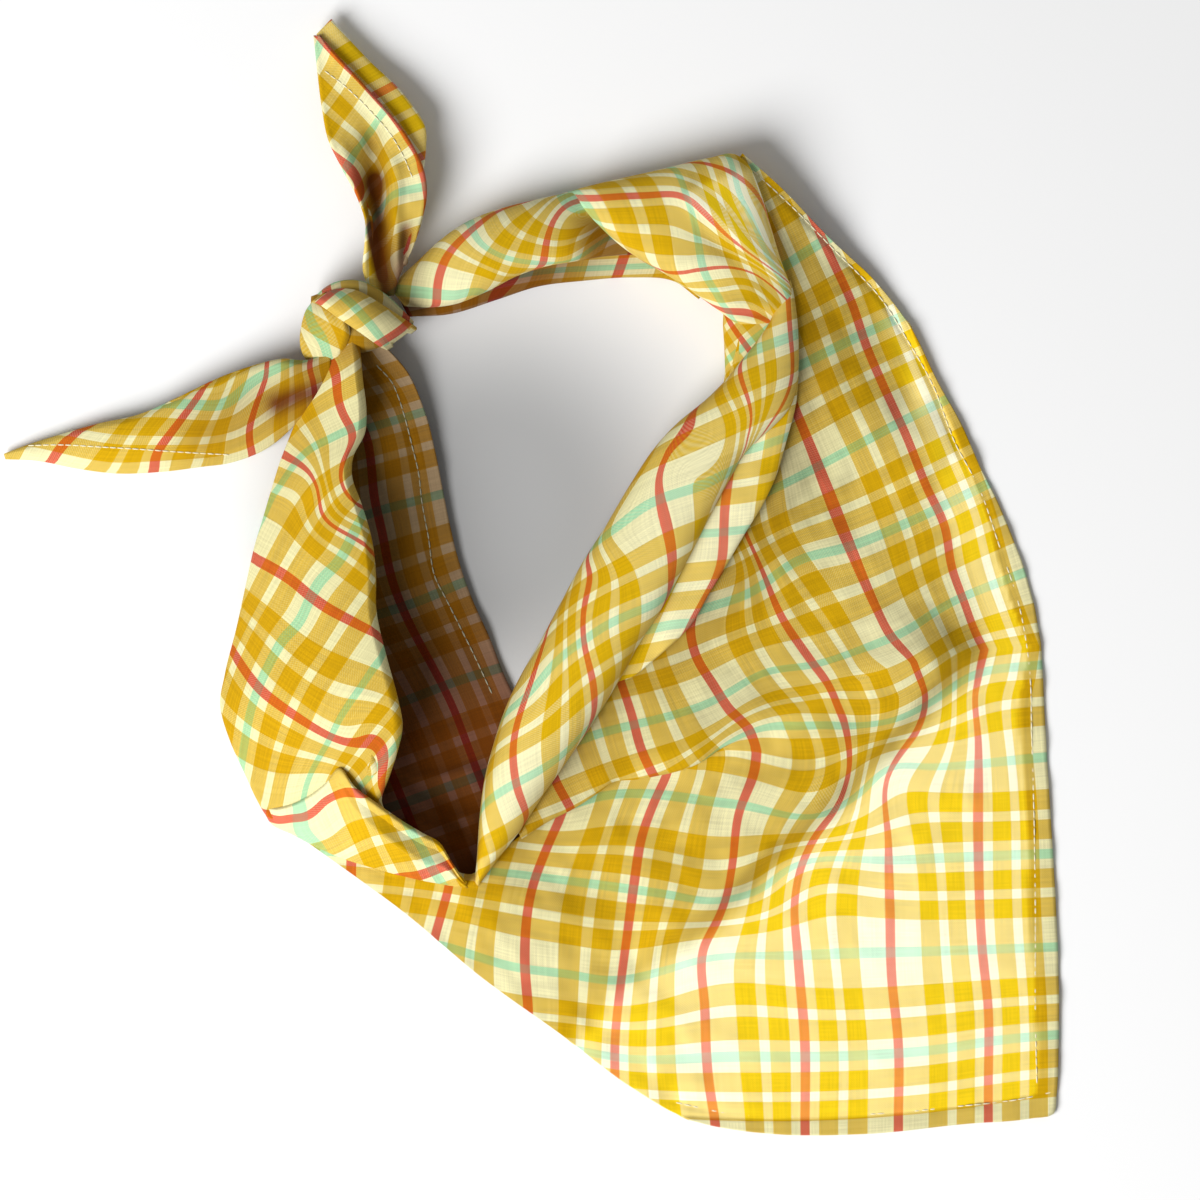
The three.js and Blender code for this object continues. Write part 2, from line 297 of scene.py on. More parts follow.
def cloth_place(grid, reds, mints, laid_flat=False, stiffness=25.0):
    """The cloth's coordinates over a grid, in millimetres, from the lines of its red and mint stripes.

    A table holds the lines of each stripe under its number, counted from the first stripe of its
    colour. A number that isn't whole marks a thread between two stripes.
    """
    flat = grid[:, :, :2] if laid_flat else unrolled(grid)
    up = normals_of(grid)[:, :, 2]
    if np.median(up) < 0:
        up = -up
    seen = up > LEAST_SEEN
    plan_seen = grid[:, :, :2][seen]
    flat_seen = flat[seen]
    made = []
    for family in (reds, mints):
        marks, values = [], []
        for index, lines in family.items():
            for line in lines:
                points = smooth_line(line, pitch=4.0) if len(line) > 1 else np.array(line, float)
                marks.append(points)
                values.append(np.full(len(points), index * STRIPE_STEP))
        marks, values = np.concatenate(marks), np.concatenate(values)
        if not laid_flat:
            gaps = ((marks[:, None] - plan_seen[None]) ** 2).sum(axis=2)
            nearest = gaps.argmin(axis=1)
            marks = marks + flat_seen[nearest] - plan_seen[nearest]
        found = thin_plate(marks, values, flat.reshape(-1, 2), stiffness)
        made.append(found.reshape(flat.shape[:2]))
    return np.stack(made, axis=2)


# Runs of cloth

TURN_LINES = 7  # lines of the mesh round a turned edge
NO_TUCK = 0.4  # an edge isn't turned under if none of its tucks is longer than this
SHORTEST_TUCK = 0.3  # a turned edge goes back under by at least this


def ribbon(table, pitch=MESH_PITCH, radius=2.4):
    """A run of cloth between two edges, turned under at them.

    A row is (left edge, right edge, (crown, tuck left, tuck right)). A line across goes along the
    left tuck, half round a circle, over the top as a straight line plus the crown's parabola, half
    round again and back along the right tuck.
    """
    rows = stations_along(table, pitch)
    left, right = rows[:, 0:3], rows[:, 3:6]
    crown, tuck_left, tuck_right = rows[:, 6], rows[:, 7], rows[:, 8]
    span = right - left
    width = np.hypot(span[:, 0], span[:, 1])
    flat = np.zeros_like(span)
    flat[:, :2] = span[:, :2] / width[:, None]
    radii = np.minimum(radius, width / 4)
    left_turn = radii * (tuck_left.max() > NO_TUCK)
    right_turn = radii * (tuck_right.max() > NO_TUCK)
    top_count = max(8, int(round(width.max() / pitch)))

    def turned(sign, edge, tuck):
        """One turned edge, from the end of its tuck round to the top."""
        made = []
        count = max(3, int(round(tuck.max() / pitch)))
        for k in range(count):
            share = 1 - k / count
            inwards = radii + share * np.maximum(tuck, SHORTEST_TUCK)
            made.append((inwards, edge[:, 2] - radii))
        for k in range(TURN_LINES):
            angle = math.pi * k / TURN_LINES
            made.append((radii * (1 - math.sin(angle)), edge[:, 2] - radii * math.cos(angle)))
        placed = []
        for inwards, height in made:
            point = edge + flat * (sign * inwards)[:, None]
            point[:, 2] = height
            placed.append(point)
        return placed

    lines = turned(1, left, tuck_left) if left_turn.any() else []
    raised_left, raised_right = left[:, 2] + left_turn, right[:, 2] + right_turn
    for k in range(top_count + 1):
        share = k / top_count
        distance = left_turn + (width - right_turn - left_turn) * share
        part = distance / width
        point = left + flat * distance[:, None]
        point[:, 2] = raised_left + (raised_right - raised_left) * share
        point[:, 2] += crown * 4 * part * (1 - part)
        lines.append(point)
    if right_turn.any():
        lines += turned(-1, right, tuck_right)[::-1]
    return np.stack(lines, axis=1)


SQUARENESS = 2.5  # of a roll's section: 2 is an ellipse, and more is squarer
SEAM_SHARE = 0.03  # share of the way round that stays open on each side of the seam
ROUND_STEP = 1.2  # lines round a roll are this many pitches apart


def tube(table, twists, folds, depth, phase=0.0):
    """A rolled run of cloth, as a sheet that goes once round from its seam underneath.

    A row is (outer edge with the underside's height, inner edge with the top's height). A ring is
    a squared ellipse between the edges, pressed in by waves that wind along the roll.
    """
    rows = stations_along(table, MESH_PITCH)
    outer, inner = rows[:, 0:3], rows[:, 3:6]
    middle = (outer + inner) / 2
    half = (outer - inner) / 2
    rise = (inner[:, 2] - outer[:, 2]) / 2
    half[:, 2] = 0
    around = 2 * math.hypot(np.linalg.norm(half, axis=1).max(), rise.max()) * math.pi
    count = max(16, int(round(around / MESH_PITCH / ROUND_STEP)))
    angle = -math.pi / 2 + 2 * math.pi * np.linspace(SEAM_SHARE, 1 - SEAM_SHARE, count)
    along = np.linspace(0, 1, len(rows))
    wave = np.cos(folds * angle[None, :] - 2 * math.pi * twists * along[:, None] + phase)
    swell = 1 - depth * (0.5 - 0.5 * wave)
    power = 2 / SQUARENESS
    sideways = np.sign(np.cos(angle)) * np.abs(np.cos(angle)) ** power * swell
    upwards = np.sign(np.sin(angle)) * np.abs(np.sin(angle)) ** power * swell
    grid = middle[:, None, :] + half[:, None, :] * sideways[:, :, None]
    grid[:, :, 2] += rise[:, None] * upwards
    return grid


SHOULDER_FALL = 24.0  # over about this distance the cloth comes down from the shoulder
FALL_POWER = 1.25  # how rounded the shoulder is
BENT_REACH = 70.0  # how far off a line still follows the bent one


def fan(table, pitch, bent_line, bent_at):
    """The free corner's cloth: from its edge in the roll over the shoulder and down to the hem.

    A row is (inner edge, hem, shoulder). Past the shoulder the height comes down to the hem's as
    exp(-(distance / fall) to the power). Lines across are straight, except that the first or the
    last one takes the bent line, and the others follow it less the further off they are.
    """
    rows = stations_along(table, pitch)
    inner, hem, shoulder = rows[:, 0:3], rows[:, 3:6], rows[:, 6:9]
    strip = FAN_COLUMNS // 10
    lines = [inner + (shoulder - inner) * (k / strip) for k in range(strip)]
    away = hem - shoulder
    size = np.hypot(away[:, 0], away[:, 1])
    for k in range(FAN_COLUMNS - strip + 1):
        share = k / (FAN_COLUMNS - strip)
        point = shoulder + away * share
        falling = np.exp(-((size * share / SHOULDER_FALL) ** FALL_POWER))
        point[:, 2] = hem[:, 2] + (shoulder[:, 2] - hem[:, 2]) * falling
        lines.append(point)
    grid = soften(np.stack(lines, axis=1), passes=5, axis=1)
    edge = grid[-1] if bent_at == "end" else grid[0]
    path = smooth_line(bent_line, pitch=0.5)
    length = chords(path)
    place = chords(edge[:, :2])
    at = place / place[-1] * length[-1]
    bent = np.stack([np.interp(at, length, path[:, k]) for k in range(2)], axis=1)
    shift = bent - edge[:, :2]
    away = np.linalg.norm(grid[:, :, :2] - edge[None, :, :2], axis=2)
    grid[:, :, :2] += shift[None] * bell(away, BENT_REACH)[:, :, None]
    return grid


# A line of the mesh in the fold: its share of the tuck, and how far out and down, in drops.
Z_LINES = (
    (0.0, 0.55, 0.28), (0.0, 0.5, 0.6), (0.25, 0.0, 0.9), (0.6, 0.0, 0.95), (1.0, 0.0, 1.1),
    (1.05, 0.0, 1.5), (0.7, 0.0, 1.9), (0.35, 0.0, 1.95), (0.1, 0.0, 2.0),
)


def z_fold(upper, lower, tuck, drop):
    """Joins two grids by a fold: from the upper one's last line back under it and forward again.

    Its lines go out and down round the edge, back under it by the tuck, down again and forward, in
    the shares that Z_LINES gives. Where the tuck and the drop are small it closes to nothing.
    """
    edge = upper[-1]
    along = np.gradient(edge[:, :2], axis=0)
    along /= np.linalg.norm(along, axis=1, keepdims=True)
    back = np.stack([-along[:, 1], along[:, 0]], axis=1)  # towards the upper cloth
    made = []
    for forward, out, down in Z_LINES:
        point = edge.copy()
        point[:, :2] += back * (forward * tuck - out * drop)[:, None]
        point[:, 2] -= down * drop
        made.append(point)
    return np.concatenate([upper, np.stack(made), lower], axis=0), len(made)


# Meshes


def add_piece(name, mesh, material):
    """An object for the mesh, riding on the one body."""
    mesh.shade_smooth()
    mesh.materials.append(material)
    piece = bpy.data.objects.new(name, mesh)
    bpy.context.scene.collection.objects.link(piece)
    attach(piece, "root")
    return piece


def make_sheet(name, grid, places, layers_and_painted_shade):
    """A thin sheet over the grid's squares, with the cloth's coordinates as its UV map.

    The layer count with painted shade gives how many more lie under each point, plus the shade painted into
    the colour there. It is one number or an array that fits the grid.
    """
    rows, columns = grid.shape[:2]
    up = normals_of(grid)[:, :, 2]
    middle_up = up[:, columns // 2].mean()
    index = np.arange(rows * columns).reshape(rows, columns)
    corners = [index[:-1, :-1], index[:-1, 1:], index[1:, 1:], index[1:, :-1]]
    faces = np.stack(corners, axis=2).reshape(-1, 4)
    if middle_up < 0:
        faces = faces[:, ::-1]
    mesh = bpy.data.meshes.new(name)
    grid = grid.copy()
    lowest = TABLE_GAP + CLOTH_THICKNESS * np.clip(up if middle_up > 0 else -up, 0, 1)
    above = (grid[:, :, 2] - lowest) / SETTLE
    grid[:, :, 2] = lowest + SETTLE * np.logaddexp(0, above)  # rests on the table without a crease
    points = (grid.reshape(-1, 3) + PLAN_TO_FRAME) * MM
    mesh.from_pydata(points, [], faces)
    uv = mesh.uv_layers.new(name="weave")
    loops = np.empty(len(mesh.loops), np.int32)
    mesh.loops.foreach_get("vertex_index", loops)
    uv.data.foreach_set("uv", (places.reshape(-1, 2) / REPEAT)[loops].astype(np.float32).ravel())
    # The attribute holds the layer count together with painted shade, which the cloth's material darkens
    # its colour by.
    attribute = mesh.attributes.new("layers_and_painted_shade", "FLOAT", "POINT")
    attribute.data.foreach_set("value", np.broadcast_to(layers_and_painted_shade, (rows, columns)).astype(np.float32).ravel())
    piece = add_piece(name, mesh, check_cloth())
    solid = piece.modifiers.new("cloth thickness", "SOLIDIFY")
    solid.thickness = CLOTH_THICKNESS * MM
    solid.offset = -1.0
    return piece


STITCH_GAP = 0.25


def make_stitches(name, grid, line, length=2.4, thick=0.22, dim=1.0):
    """A row of stitches on a sheet: short bent threads that dip into the cloth at both ends.

    Each is a tube along a half sine, six-sided, and the row is one mesh.
    """
    path = smooth_line(line, pitch=0.4)
    flat = grid[:, :, :2].reshape(-1, 2)
    tops = grid[:, :, 2].reshape(-1)
    gaps = ((path[:, None] - flat[None]) ** 2).sum(axis=2)
    nearest = np.argsort(gaps, axis=1)[:, :3]
    heights = soften(tops[nearest].max(axis=1), passes=3, axis=0)
    distance = chords(path)
    starts = np.arange(0, distance[-1] - length, length + STITCH_GAP)
    rings, sides = 7, 6
    share = np.linspace(0, 1, rings)
    at = starts[:, None] + share[None] * length
    x = np.interp(at, distance, path[:, 0])
    y = np.interp(at, distance, path[:, 1])
    z = np.interp(at, distance, heights) + thick * (0.75 * np.sin(math.pi * share) - 0.35)
    heading = np.arctan2(y[:, -1] - y[:, 0], x[:, -1] - x[:, 0])
    turn = 2 * math.pi * np.arange(sides) / sides
    radius = thick * (0.35 + 0.65 * np.sin(math.pi * share) ** 0.5)
    side = radius[None, :, None] * np.cos(turn)[None, None, :]
    rise = radius[None, :, None] * np.sin(turn)[None, None, :] * 0.7
    px = x[:, :, None] - np.sin(heading)[:, None, None] * side
    py = y[:, :, None] + np.cos(heading)[:, None, None] * side
    pz = z[:, :, None] + rise
    points = (np.stack([px, py, pz], axis=3).reshape(-1, 3) + PLAN_TO_FRAME) * MM
    points[:, 2] = np.maximum(points[:, 2], 0.0)
    base = (np.arange(len(starts)) * rings * sides)[:, None, None]
    ring = (np.arange(rings - 1) * sides)[None, :, None]
    spoke = np.arange(sides)[None, None, :]
    after = (spoke + 1) % sides
    here, beyond = base + ring, base + ring + sides
    quads = np.stack([here + spoke, here + after, beyond + after, beyond + spoke], axis=3)
    first_cap = base[:, :, 0] + np.arange(sides)[::-1]
    last_cap = base[:, :, 0] + (rings - 1) * sides + np.arange(sides)
    mesh = bpy.data.meshes.new(name)
    mesh.from_pydata(points, [], quads.reshape(-1, 4).tolist() + first_cap.tolist() + last_cap.tolist())
    return add_piece(name, mesh, stitch_thread(dim))


# Materials

# How far each thread covers the one that it crosses.
RED_COVER = 0.58
MINT_COVER = 0.24
MUSTARD_COVER = 0.37
CREAM_COVER = 0.0
WEAVE_SHARE = 0.35  # how much the weave's over and under counts in the relief, beside the slubs


def settings():
    """The colours and sizes that a user may change."""
    return bpy.context.scene.bandana


def node(tree, kind, place, **values):
    """Adds a node, sets its properties, and its sockets where the value's name is a socket's."""
    made = tree.nodes.new(kind)
    made.location = place
    for key, value in values.items():
        if hasattr(made, key):
            setattr(made, key, value)
        else:
            made.inputs[key.replace("_", " ")].default_value = value
    return made


def math_node(tree, operation, place, a, b=None):
    """Adds a Math node, with each value linked where it is a socket, and gives its result."""
    made = node(tree, "ShaderNodeMath", place, operation=operation)
    for socket, value in zip(made.inputs, (a, b)):
        if value is None:
            continue
        if hasattr(value, "node"):
            tree.links.new(value, socket)
        else:
            socket.default_value = value
    return made.outputs[0]


def thread_ramp(tree, place, fac, coloured, cover):
    """A ramp with one hard step per band. Its alpha is how far the coloured stripe covers."""
    ramp = node(tree, "ShaderNodeValToRGB", place)
    ramp.color_ramp.interpolation = "CONSTANT"
    cloth = settings()
    shades = {
        "stripe": (*coloured, cover),
        "cream": (*cloth.cream_thread, CREAM_COVER),
        "mustard": (*cloth.mustard_thread, MUSTARD_COVER),
    }
    total = sum(width for _, width in BANDS)
    elements = ramp.color_ramp.elements
    start = 0.0
    for k, (thread, width) in enumerate(BANDS):
        element = elements[k] if k < 2 else elements.new(start / total)
        element.position = start / total
        element.color = shades[thread]
        start += width
    tree.links.new(fac, ramp.inputs["Fac"])
    return ramp


def check_cloth():
    """Woven check: warp and weft ramps over the cloth's own coordinates, with slubs and weave, and painted
    shade from the layer attribute.
    """
    name = "woven check"
    if name in bpy.data.materials:
        return bpy.data.materials[name]
    cloth = settings()
    material = bpy.data.materials.new(name)
    material.use_nodes = True
    tree = material.node_tree
    tree.nodes.clear()
    link = tree.links.new
    place = node(tree, "ShaderNodeUVMap", (-1800, 0), uv_map="weave")
    split = node(tree, "ShaderNodeSeparateXYZ", (-1620, 0))
    link(place.outputs["UV"], split.inputs[0])
    shades = []
    threads = (("X", cloth.red_thread, RED_COVER), ("Y", cloth.mint_thread, MINT_COVER))
    for k, (axis, coloured, cover) in enumerate(threads):
        fac = math_node(tree, "FRACT", (-1440, 300 - 500 * k), split.outputs[axis])
        ramp = thread_ramp(tree, (-1240, 300 - 500 * k), fac, coloured, cover)
        # Slubs: noise that is long along the thread and narrow across it.
        narrow, lengthwise = REPEAT / cloth.slub_width, REPEAT / cloth.slub_length
        stretch = node(
            tree, "ShaderNodeMapping", (-1440, 60 - 500 * k), Location=(17.3 * k, 5.1 * k, 0),
            Scale=(narrow, lengthwise, 1) if axis == "X" else (lengthwise, narrow, 1),
        )
        link(place.outputs["UV"], stretch.inputs["Vector"])
        slub = node(
            tree, "ShaderNodeTexNoise", (-1240, 60 - 500 * k), noise_dimensions="2D", Scale=1.0, Detail=2.0
        )
        link(stretch.outputs[0], slub.inputs["Vector"])
        level = node(
            tree, "ShaderNodeMapRange", (-1040, 60 - 500 * k), From_Min=0.3, From_Max=0.7,
            To_Min=1 - cloth.slub_strength, To_Max=1 + cloth.slub_strength,
        )
        link(slub.outputs["Fac"], level.inputs["Value"])
        tinted = node(tree, "ShaderNodeVectorMath", (-840, 200 - 500 * k), operation="MULTIPLY")
        link(ramp.outputs["Color"], tinted.inputs[0])
        link(level.outputs[0], tinted.inputs[1])
        shades.append((tinted.outputs[0], ramp.outputs["Alpha"], level.outputs[0]))
    # The share of the warp that shows, from the two covers and the over and under of the weave.
    waves = []
    turns = 2 * math.pi * REPEAT / cloth.weave_pitch
    for k, axis in enumerate(("X", "Y")):
        turned = math_node(tree, "MULTIPLY", (-1040, -760 - 160 * k), split.outputs[axis], turns)
        waves.append(math_node(tree, "SINE", (-860, -760 - 160 * k), turned))
    weave = math_node(tree, "MULTIPLY", (-680, -800), waves[0], waves[1])
    lean = math_node(tree, "SUBTRACT", (-680, -600), shades[0][1], shades[1][1])
    half = math_node(tree, "MULTIPLY_ADD", (-500, -600), lean, 0.5)
    half.node.inputs[2].default_value = 0.5
    share = math_node(tree, "MULTIPLY_ADD", (-320, -600), weave, cloth.weave_contrast)
    link(half, share.node.inputs[2])
    mixed = node(tree, "ShaderNodeMix", (-160, 100), data_type="RGBA", clamp_factor=True)
    link(share, mixed.inputs["Factor"])
    link(shades[1][0], mixed.inputs[6])
    link(shades[0][0], mixed.inputs[7])
    # Painted light and shade: the attribute stands for the light that shines through a single layer and
    # that more layers hold back, and for painted shade in the pocket, the creases and beside the roll, so
    # the colours get deeper before they get darker.
    layers_and_painted_shade = node(tree, "ShaderNodeAttribute", (-520, -160), attribute_name="layers_and_painted_shade")
    layer_shade_share = math_node(tree, "MINIMUM", (-340, -80), layers_and_painted_shade.outputs["Fac"], 1.0)
    power = math_node(tree, "MULTIPLY_ADD", (-160, -80), layer_shade_share, cloth.layered_painted_depth)
    power.node.inputs[2].default_value = 1.0
    painted_deeper_colour = node(tree, "ShaderNodeGamma", (-40, 220))
    link(mixed.outputs[2], painted_deeper_colour.inputs["Color"])
    link(power, painted_deeper_colour.inputs["Gamma"])
    multiply = {"data_type": "RGBA", "blend_type": "MULTIPLY", "clamp_factor": True}
    # Painted shade of a second layer: the colour is multiplied by the layered tint.
    painted_layer_shade = node(tree, "ShaderNodeMix", (60, 100), **multiply)
    painted_layer_shade.inputs[7].default_value = (*cloth.layered_painted_shade, 1)
    link(layers_and_painted_shade.outputs["Fac"], painted_layer_shade.inputs["Factor"])
    link(painted_deeper_colour.outputs[0], painted_layer_shade.inputs[6])
    # Painted shade past one layer: the deep tint darkens the pocket, the creases and what lies under other
    # cloth.
    deeper = math_node(tree, "SUBTRACT", (-340, -240), layers_and_painted_shade.outputs["Fac"], 1.0)
    deep = node(tree, "ShaderNodeMix", (200, -60), **multiply)
    deep.inputs[7].default_value = (*cloth.deep_painted_shade, 1)
    link(deeper, deep.inputs["Factor"])
    link(painted_layer_shade.outputs[2], deep.inputs[6])
    slubs = math_node(tree, "ADD", (-320, -900), shades[0][2], shades[1][2])
    relief = math_node(tree, "MULTIPLY_ADD", (-160, -900), weave, WEAVE_SHARE)
    link(slubs, relief.node.inputs[2])
    bump = node(tree, "ShaderNodeBump", (60, -500), Strength=0.35, Distance=cloth.weave_relief * MM)
    link(relief, bump.inputs["Height"])
    shader = node(
        tree, "ShaderNodeBsdfPrincipled", (280, 100),
        Roughness=0.86, Specular_IOR_Level=0.1, Sheen_Weight=0.04, Sheen_Roughness=0.5,
    )
    link(deep.outputs[2], shader.inputs["Base Color"])
    link(bump.outputs[0], shader.inputs["Normal"])
    output = node(tree, "ShaderNodeOutputMaterial", (560, 100))
    link(shader.outputs[0], output.inputs[0])
    return material


def stitch_thread(dim):
    """Pale sewing thread: fine twisted bands along it, over the object's own coordinates.

    Dim is the share of its colour that is left where the row lies in the shade of the pocket.
    """
    name = "sewing thread" if dim == 1 else "sewing thread in the pocket"
    if name in bpy.data.materials:
        return bpy.data.materials[name]
    cloth = settings()
    material = bpy.data.materials.new(name)
    material.use_nodes = True
    tree = material.node_tree
    shader = tree.nodes["Principled BSDF"]
    place = node(tree, "ShaderNodeTexCoord", (-900, 0))
    twist = node(
        tree, "ShaderNodeTexWave", (-680, 0), bands_direction="DIAGONAL", Scale=900.0, Distortion=1.5
    )
    tree.links.new(place.outputs["Object"], twist.inputs["Vector"])
    shade = node(tree, "ShaderNodeMix", (-440, 120), data_type="RGBA")
    shade.inputs[6].default_value = (*[0.8 * dim * c for c in cloth.sewing_thread], 1)
    shade.inputs[7].default_value = (*[dim * c for c in cloth.sewing_thread], 1)
    tree.links.new(twist.outputs["Fac"], shade.inputs["Factor"])
    tree.links.new(shade.outputs[2], shader.inputs["Base Color"])
    bump = node(tree, "ShaderNodeBump", (-440, -200), Distance=0.1 * MM, Strength=0.4)
    tree.links.new(twist.outputs["Fac"], bump.inputs["Height"])
    tree.links.new(bump.outputs[0], shader.inputs["Normal"])
    shader.inputs["Roughness"].default_value = 0.7
    shader.inputs["Specular IOR Level"].default_value = 0.3
    return material


# Painted shadow on the table inside the loop: where it lies and how far it reaches.
LOOP_MIDDLE = (-12.0, 20.0, 0.0)
LOOP_CORE = 24.0  # how far from there the shade is even
LOOP_REACH = 92.0  # how far from there the table is shaded


def paper_floor():
    """Pale matt table: a faint tone of noise over the object's own coordinates, and a painted shadow inside
    the loop.
    """
    material = bpy.data.materials.new("pale table")
    material.use_nodes = True
    tree = material.node_tree
    shader = tree.nodes["Principled BSDF"]
    place = node(tree, "ShaderNodeTexCoord", (-900, 0))
    tone = node(tree, "ShaderNodeTexNoise", (-680, 0), Scale=3.0)
    tree.links.new(place.outputs["Object"], tone.inputs["Vector"])
    shade = node(tree, "ShaderNodeMix", (-440, 0), data_type="RGBA")
    pale = settings().table_colour
    shade.inputs[6].default_value = (*[0.99 * c for c in pale], 1)
    shade.inputs[7].default_value = (*pale, 1)
    tree.links.new(tone.outputs["Fac"], shade.inputs["Factor"])
    # Painted shadow: the table's colour is darkened inside the loop.
    away = node(tree, "ShaderNodeVectorMath", (-680, -260), operation="DISTANCE")
    away.inputs[1].default_value = [value * MM for value in LOOP_MIDDLE]
    tree.links.new(place.outputs["Object"], away.inputs[0])
    falling = node(
        tree, "ShaderNodeMapRange", (-440, -260), interpolation_type="SMOOTHSTEP",
        From_Min=LOOP_CORE * MM, From_Max=LOOP_REACH * MM, To_Min=settings().loop_painted_shadow,
    )
    tree.links.new(away.outputs["Value"], falling.inputs["Value"])
    painted_loop_shadow = node(tree, "ShaderNodeVectorMath", (-220, -60), operation="MULTIPLY")
    tree.links.new(shade.outputs[2], painted_loop_shadow.inputs[0])
    tree.links.new(falling.outputs[0], painted_loop_shadow.inputs[1])
    tree.links.new(painted_loop_shadow.outputs[0], shader.inputs["Base Color"])
    shader.inputs["Roughness"].default_value = 0.9
    shader.inputs["Specular IOR Level"].default_value = 0.1
    return material


# The free corner

# Rows give the edge tucked into the roll, the hem and the shoulder, all as x, y and height.
# The upper cloth runs from the top corner down to the crease that crosses the free corner.
APRON_UPPER = (
    ((60, 121, 14), (63, 126.5, 13), (61.5, 124.5, 14)),
    ((62, 112, 13), (75, 116, 6), (69, 117, 12)),
    ((64, 100, 12), (88, 102.5, 2), (73.5, 103, 11)),
    ((64, 86, 11), (103, 88.5, 1), (77, 87, 10)),
    ((62, 72, 11), (113.5, 75, 0.7), (79.5, 72, 9.5)),
    ((58, 56, 10.5), (122, 58, 0.6), (79.5, 54, 9)),
    ((56, 44, 10.5), (128.5, 46.5, 0.6), (76.5, 42, 9)),
    ((58, 31, 10.5), (134.5, 33, 0.6), (72, 28.4, 9)),
    ((50, 14, 10.5), (140, 22, 0.6), (64.7, 14, 9)),
    ((44, 1, 10.5), (144.5, 11, 0.6), (59.6, 5, 9)),
    ((39, -10, 10.5), (147.5, 3, 0.6), (52, -8, 8.5)),
    ((33, -19, 10), (149.5, -4, 0.6), (44, -17, 8)),
    ((26, -29, 8), (150.8, -9, 0.6), (34, -27.5, 6.5)),
    ((17, -42, 4.5), (151.6, -13.5, 0.6), (22, -41, 5)),
    ((9, -53, 3.8), (152.2, -17, 0.6), (13, -53, 4)),
    ((3, -63, 3.4), (152.6, -19.5, 0.6), (6.5, -63.5, 3.6)),
    ((-3.5, -77, 3.2), (153, -22.5, 0.6), (0, -75.5, 3.4)),
)
# The lower cloth goes on from the crease round the corner and up the folded side.
APRON_LOWER = (
    ((-3.5, -77, 3.2), (153, -22.5, 0.6), (0, -75.5, 3.4)),
    ((-6, -79, 3.2), (154, -45, 0.6), (-2, -78, 3.4)),
    ((-8, -81, 3.4), (155.5, -70, 0.6), (-4, -80, 3.5)),
    ((-9.5, -82.5, 3.5), (157, -95, 0.6), (-6, -82, 3.6)),
    ((-11, -83.7, 3.7), (158, -120, 0.6), (-7.5, -83.5, 3.8)),
    ((-12, -84.5, 3.8), (158, -140, 0.6), (-8.5, -84.5, 3.9)),
    ((-13, -85.3, 3.9), (157.4, -155, 0.6), (-9.5, -85.5, 4)),
    ((-13.6, -86, 4), (156.4, -161, 0.6), (-10, -86.5, 4)),
    ((-14.2, -86.5, 4), (150, -162.3, 0.6), (-11, -87.5, 4)),
    ((-15, -87, 4.1), (130, -164, 0.6), (-12, -88.5, 4.1)),
    ((-16, -87.6, 4.2), (100, -167, 0.6), (-13, -89.5, 4.2)),
    ((-17, -88, 4.3), (70, -166.8, 0.7), (-15, -90, 4.3)),
    ((-19, -88.5, 4.5), (50, -163.5, 1.0), (-17, -91, 4.5)),
    ((-26, -87, 5), (30, -153, 2.2), (-24, -91.5, 5)),
    ((-33, -85, 5), (10, -138, 2.4), (-32, -90.5, 5)),
    ((-42, -83, 5), (-15, -120, 2.4), (-41, -88.5, 5)),
    ((-51, -80, 5), (-37, -101.5, 2.4), (-50, -86.5, 5)),
    ((-62, -77, 5), (-58, -86, 2.8), (-61, -81, 4.8)),
    ((-66, -76, 4.4), (-69, -78.2, 3.2), (-67, -77, 4.2)),
)
CREASE_LINE = (
    (-3.5, -77.5), (5, -72), (12, -68.5), (19, -64), (24, -60.5), (31.5, -59.6), (38, -58.4), (50, -55.4),
    (57, -51.5), (65, -49), (75, -46), (86, -41), (105, -31), (120, -27), (137, -24), (153, -22.5),
)
CREASE_TUCK = 5.0  # how far the cloth goes back under the crease
CREASE_DROP = 1.9  # half of how far the lower cloth lies below the upper at the crease
CREASE_ENDS = (0.34, 0.56)  # shares of the crease between which the overlap fades to nothing
CREASE_LEAST = (0.05, 0.02)  # the tuck and the drop that are left where it has faded
CREASE_REACH = 26.0  # how far from the crease the upper cloth is lifted by the overlap
MATCH_REACH = 14.0  # how far from it the upper cloth's stripes are drawn to the lower ones
FADE_ROWS = 5  # rows of the mesh on each side that are evened out where the fold has faded
FAN_PITCHES = (1.35, 1.15)  # distance between the rows of the upper cloth and of the lower

# A fold is its lift, its width on the left of the line and on the right, its fade and its line.
APRON_FOLDS = (
    (7.6, 5.0, 19, 0.14, (
        (137, -18), (124, -26), (116, -34), (110, -42), (102, -50), (94, -57), (86, -66), (77, -74),
        (69, -81), (60, -90), (50, -99), (41, -105), (28, -113),
    )),
    (3.2, 13, 6, 0.2, ((24, -56), (50, -50), (75, -40), (100, -27), (128, -19))),
    (2.4, 12, 12, 0.3, ((134, 30), (112, 38), (92, 60), (82, 84))),
    (-1.2, 10, 10, 0.3, ((138, 8), (112, 12), (88, 30), (80, 50))),
    (2.0, 13, 10, 0.3, ((50, -116), (25, -106), (0, -100), (-40, -90))),
    (-1.4, 9, 9, 0.3, ((30, -98), (5, -92), (-20, -99), (-45, -93))),
    (0.9, 14, 14, 0.3, ((152, -60), (125, -72), (100, -95), (80, -130))),
    (1.2, 10, 14, 0.3, ((60, -165), (35, -140), (15, -120), (-10, -104))),
)

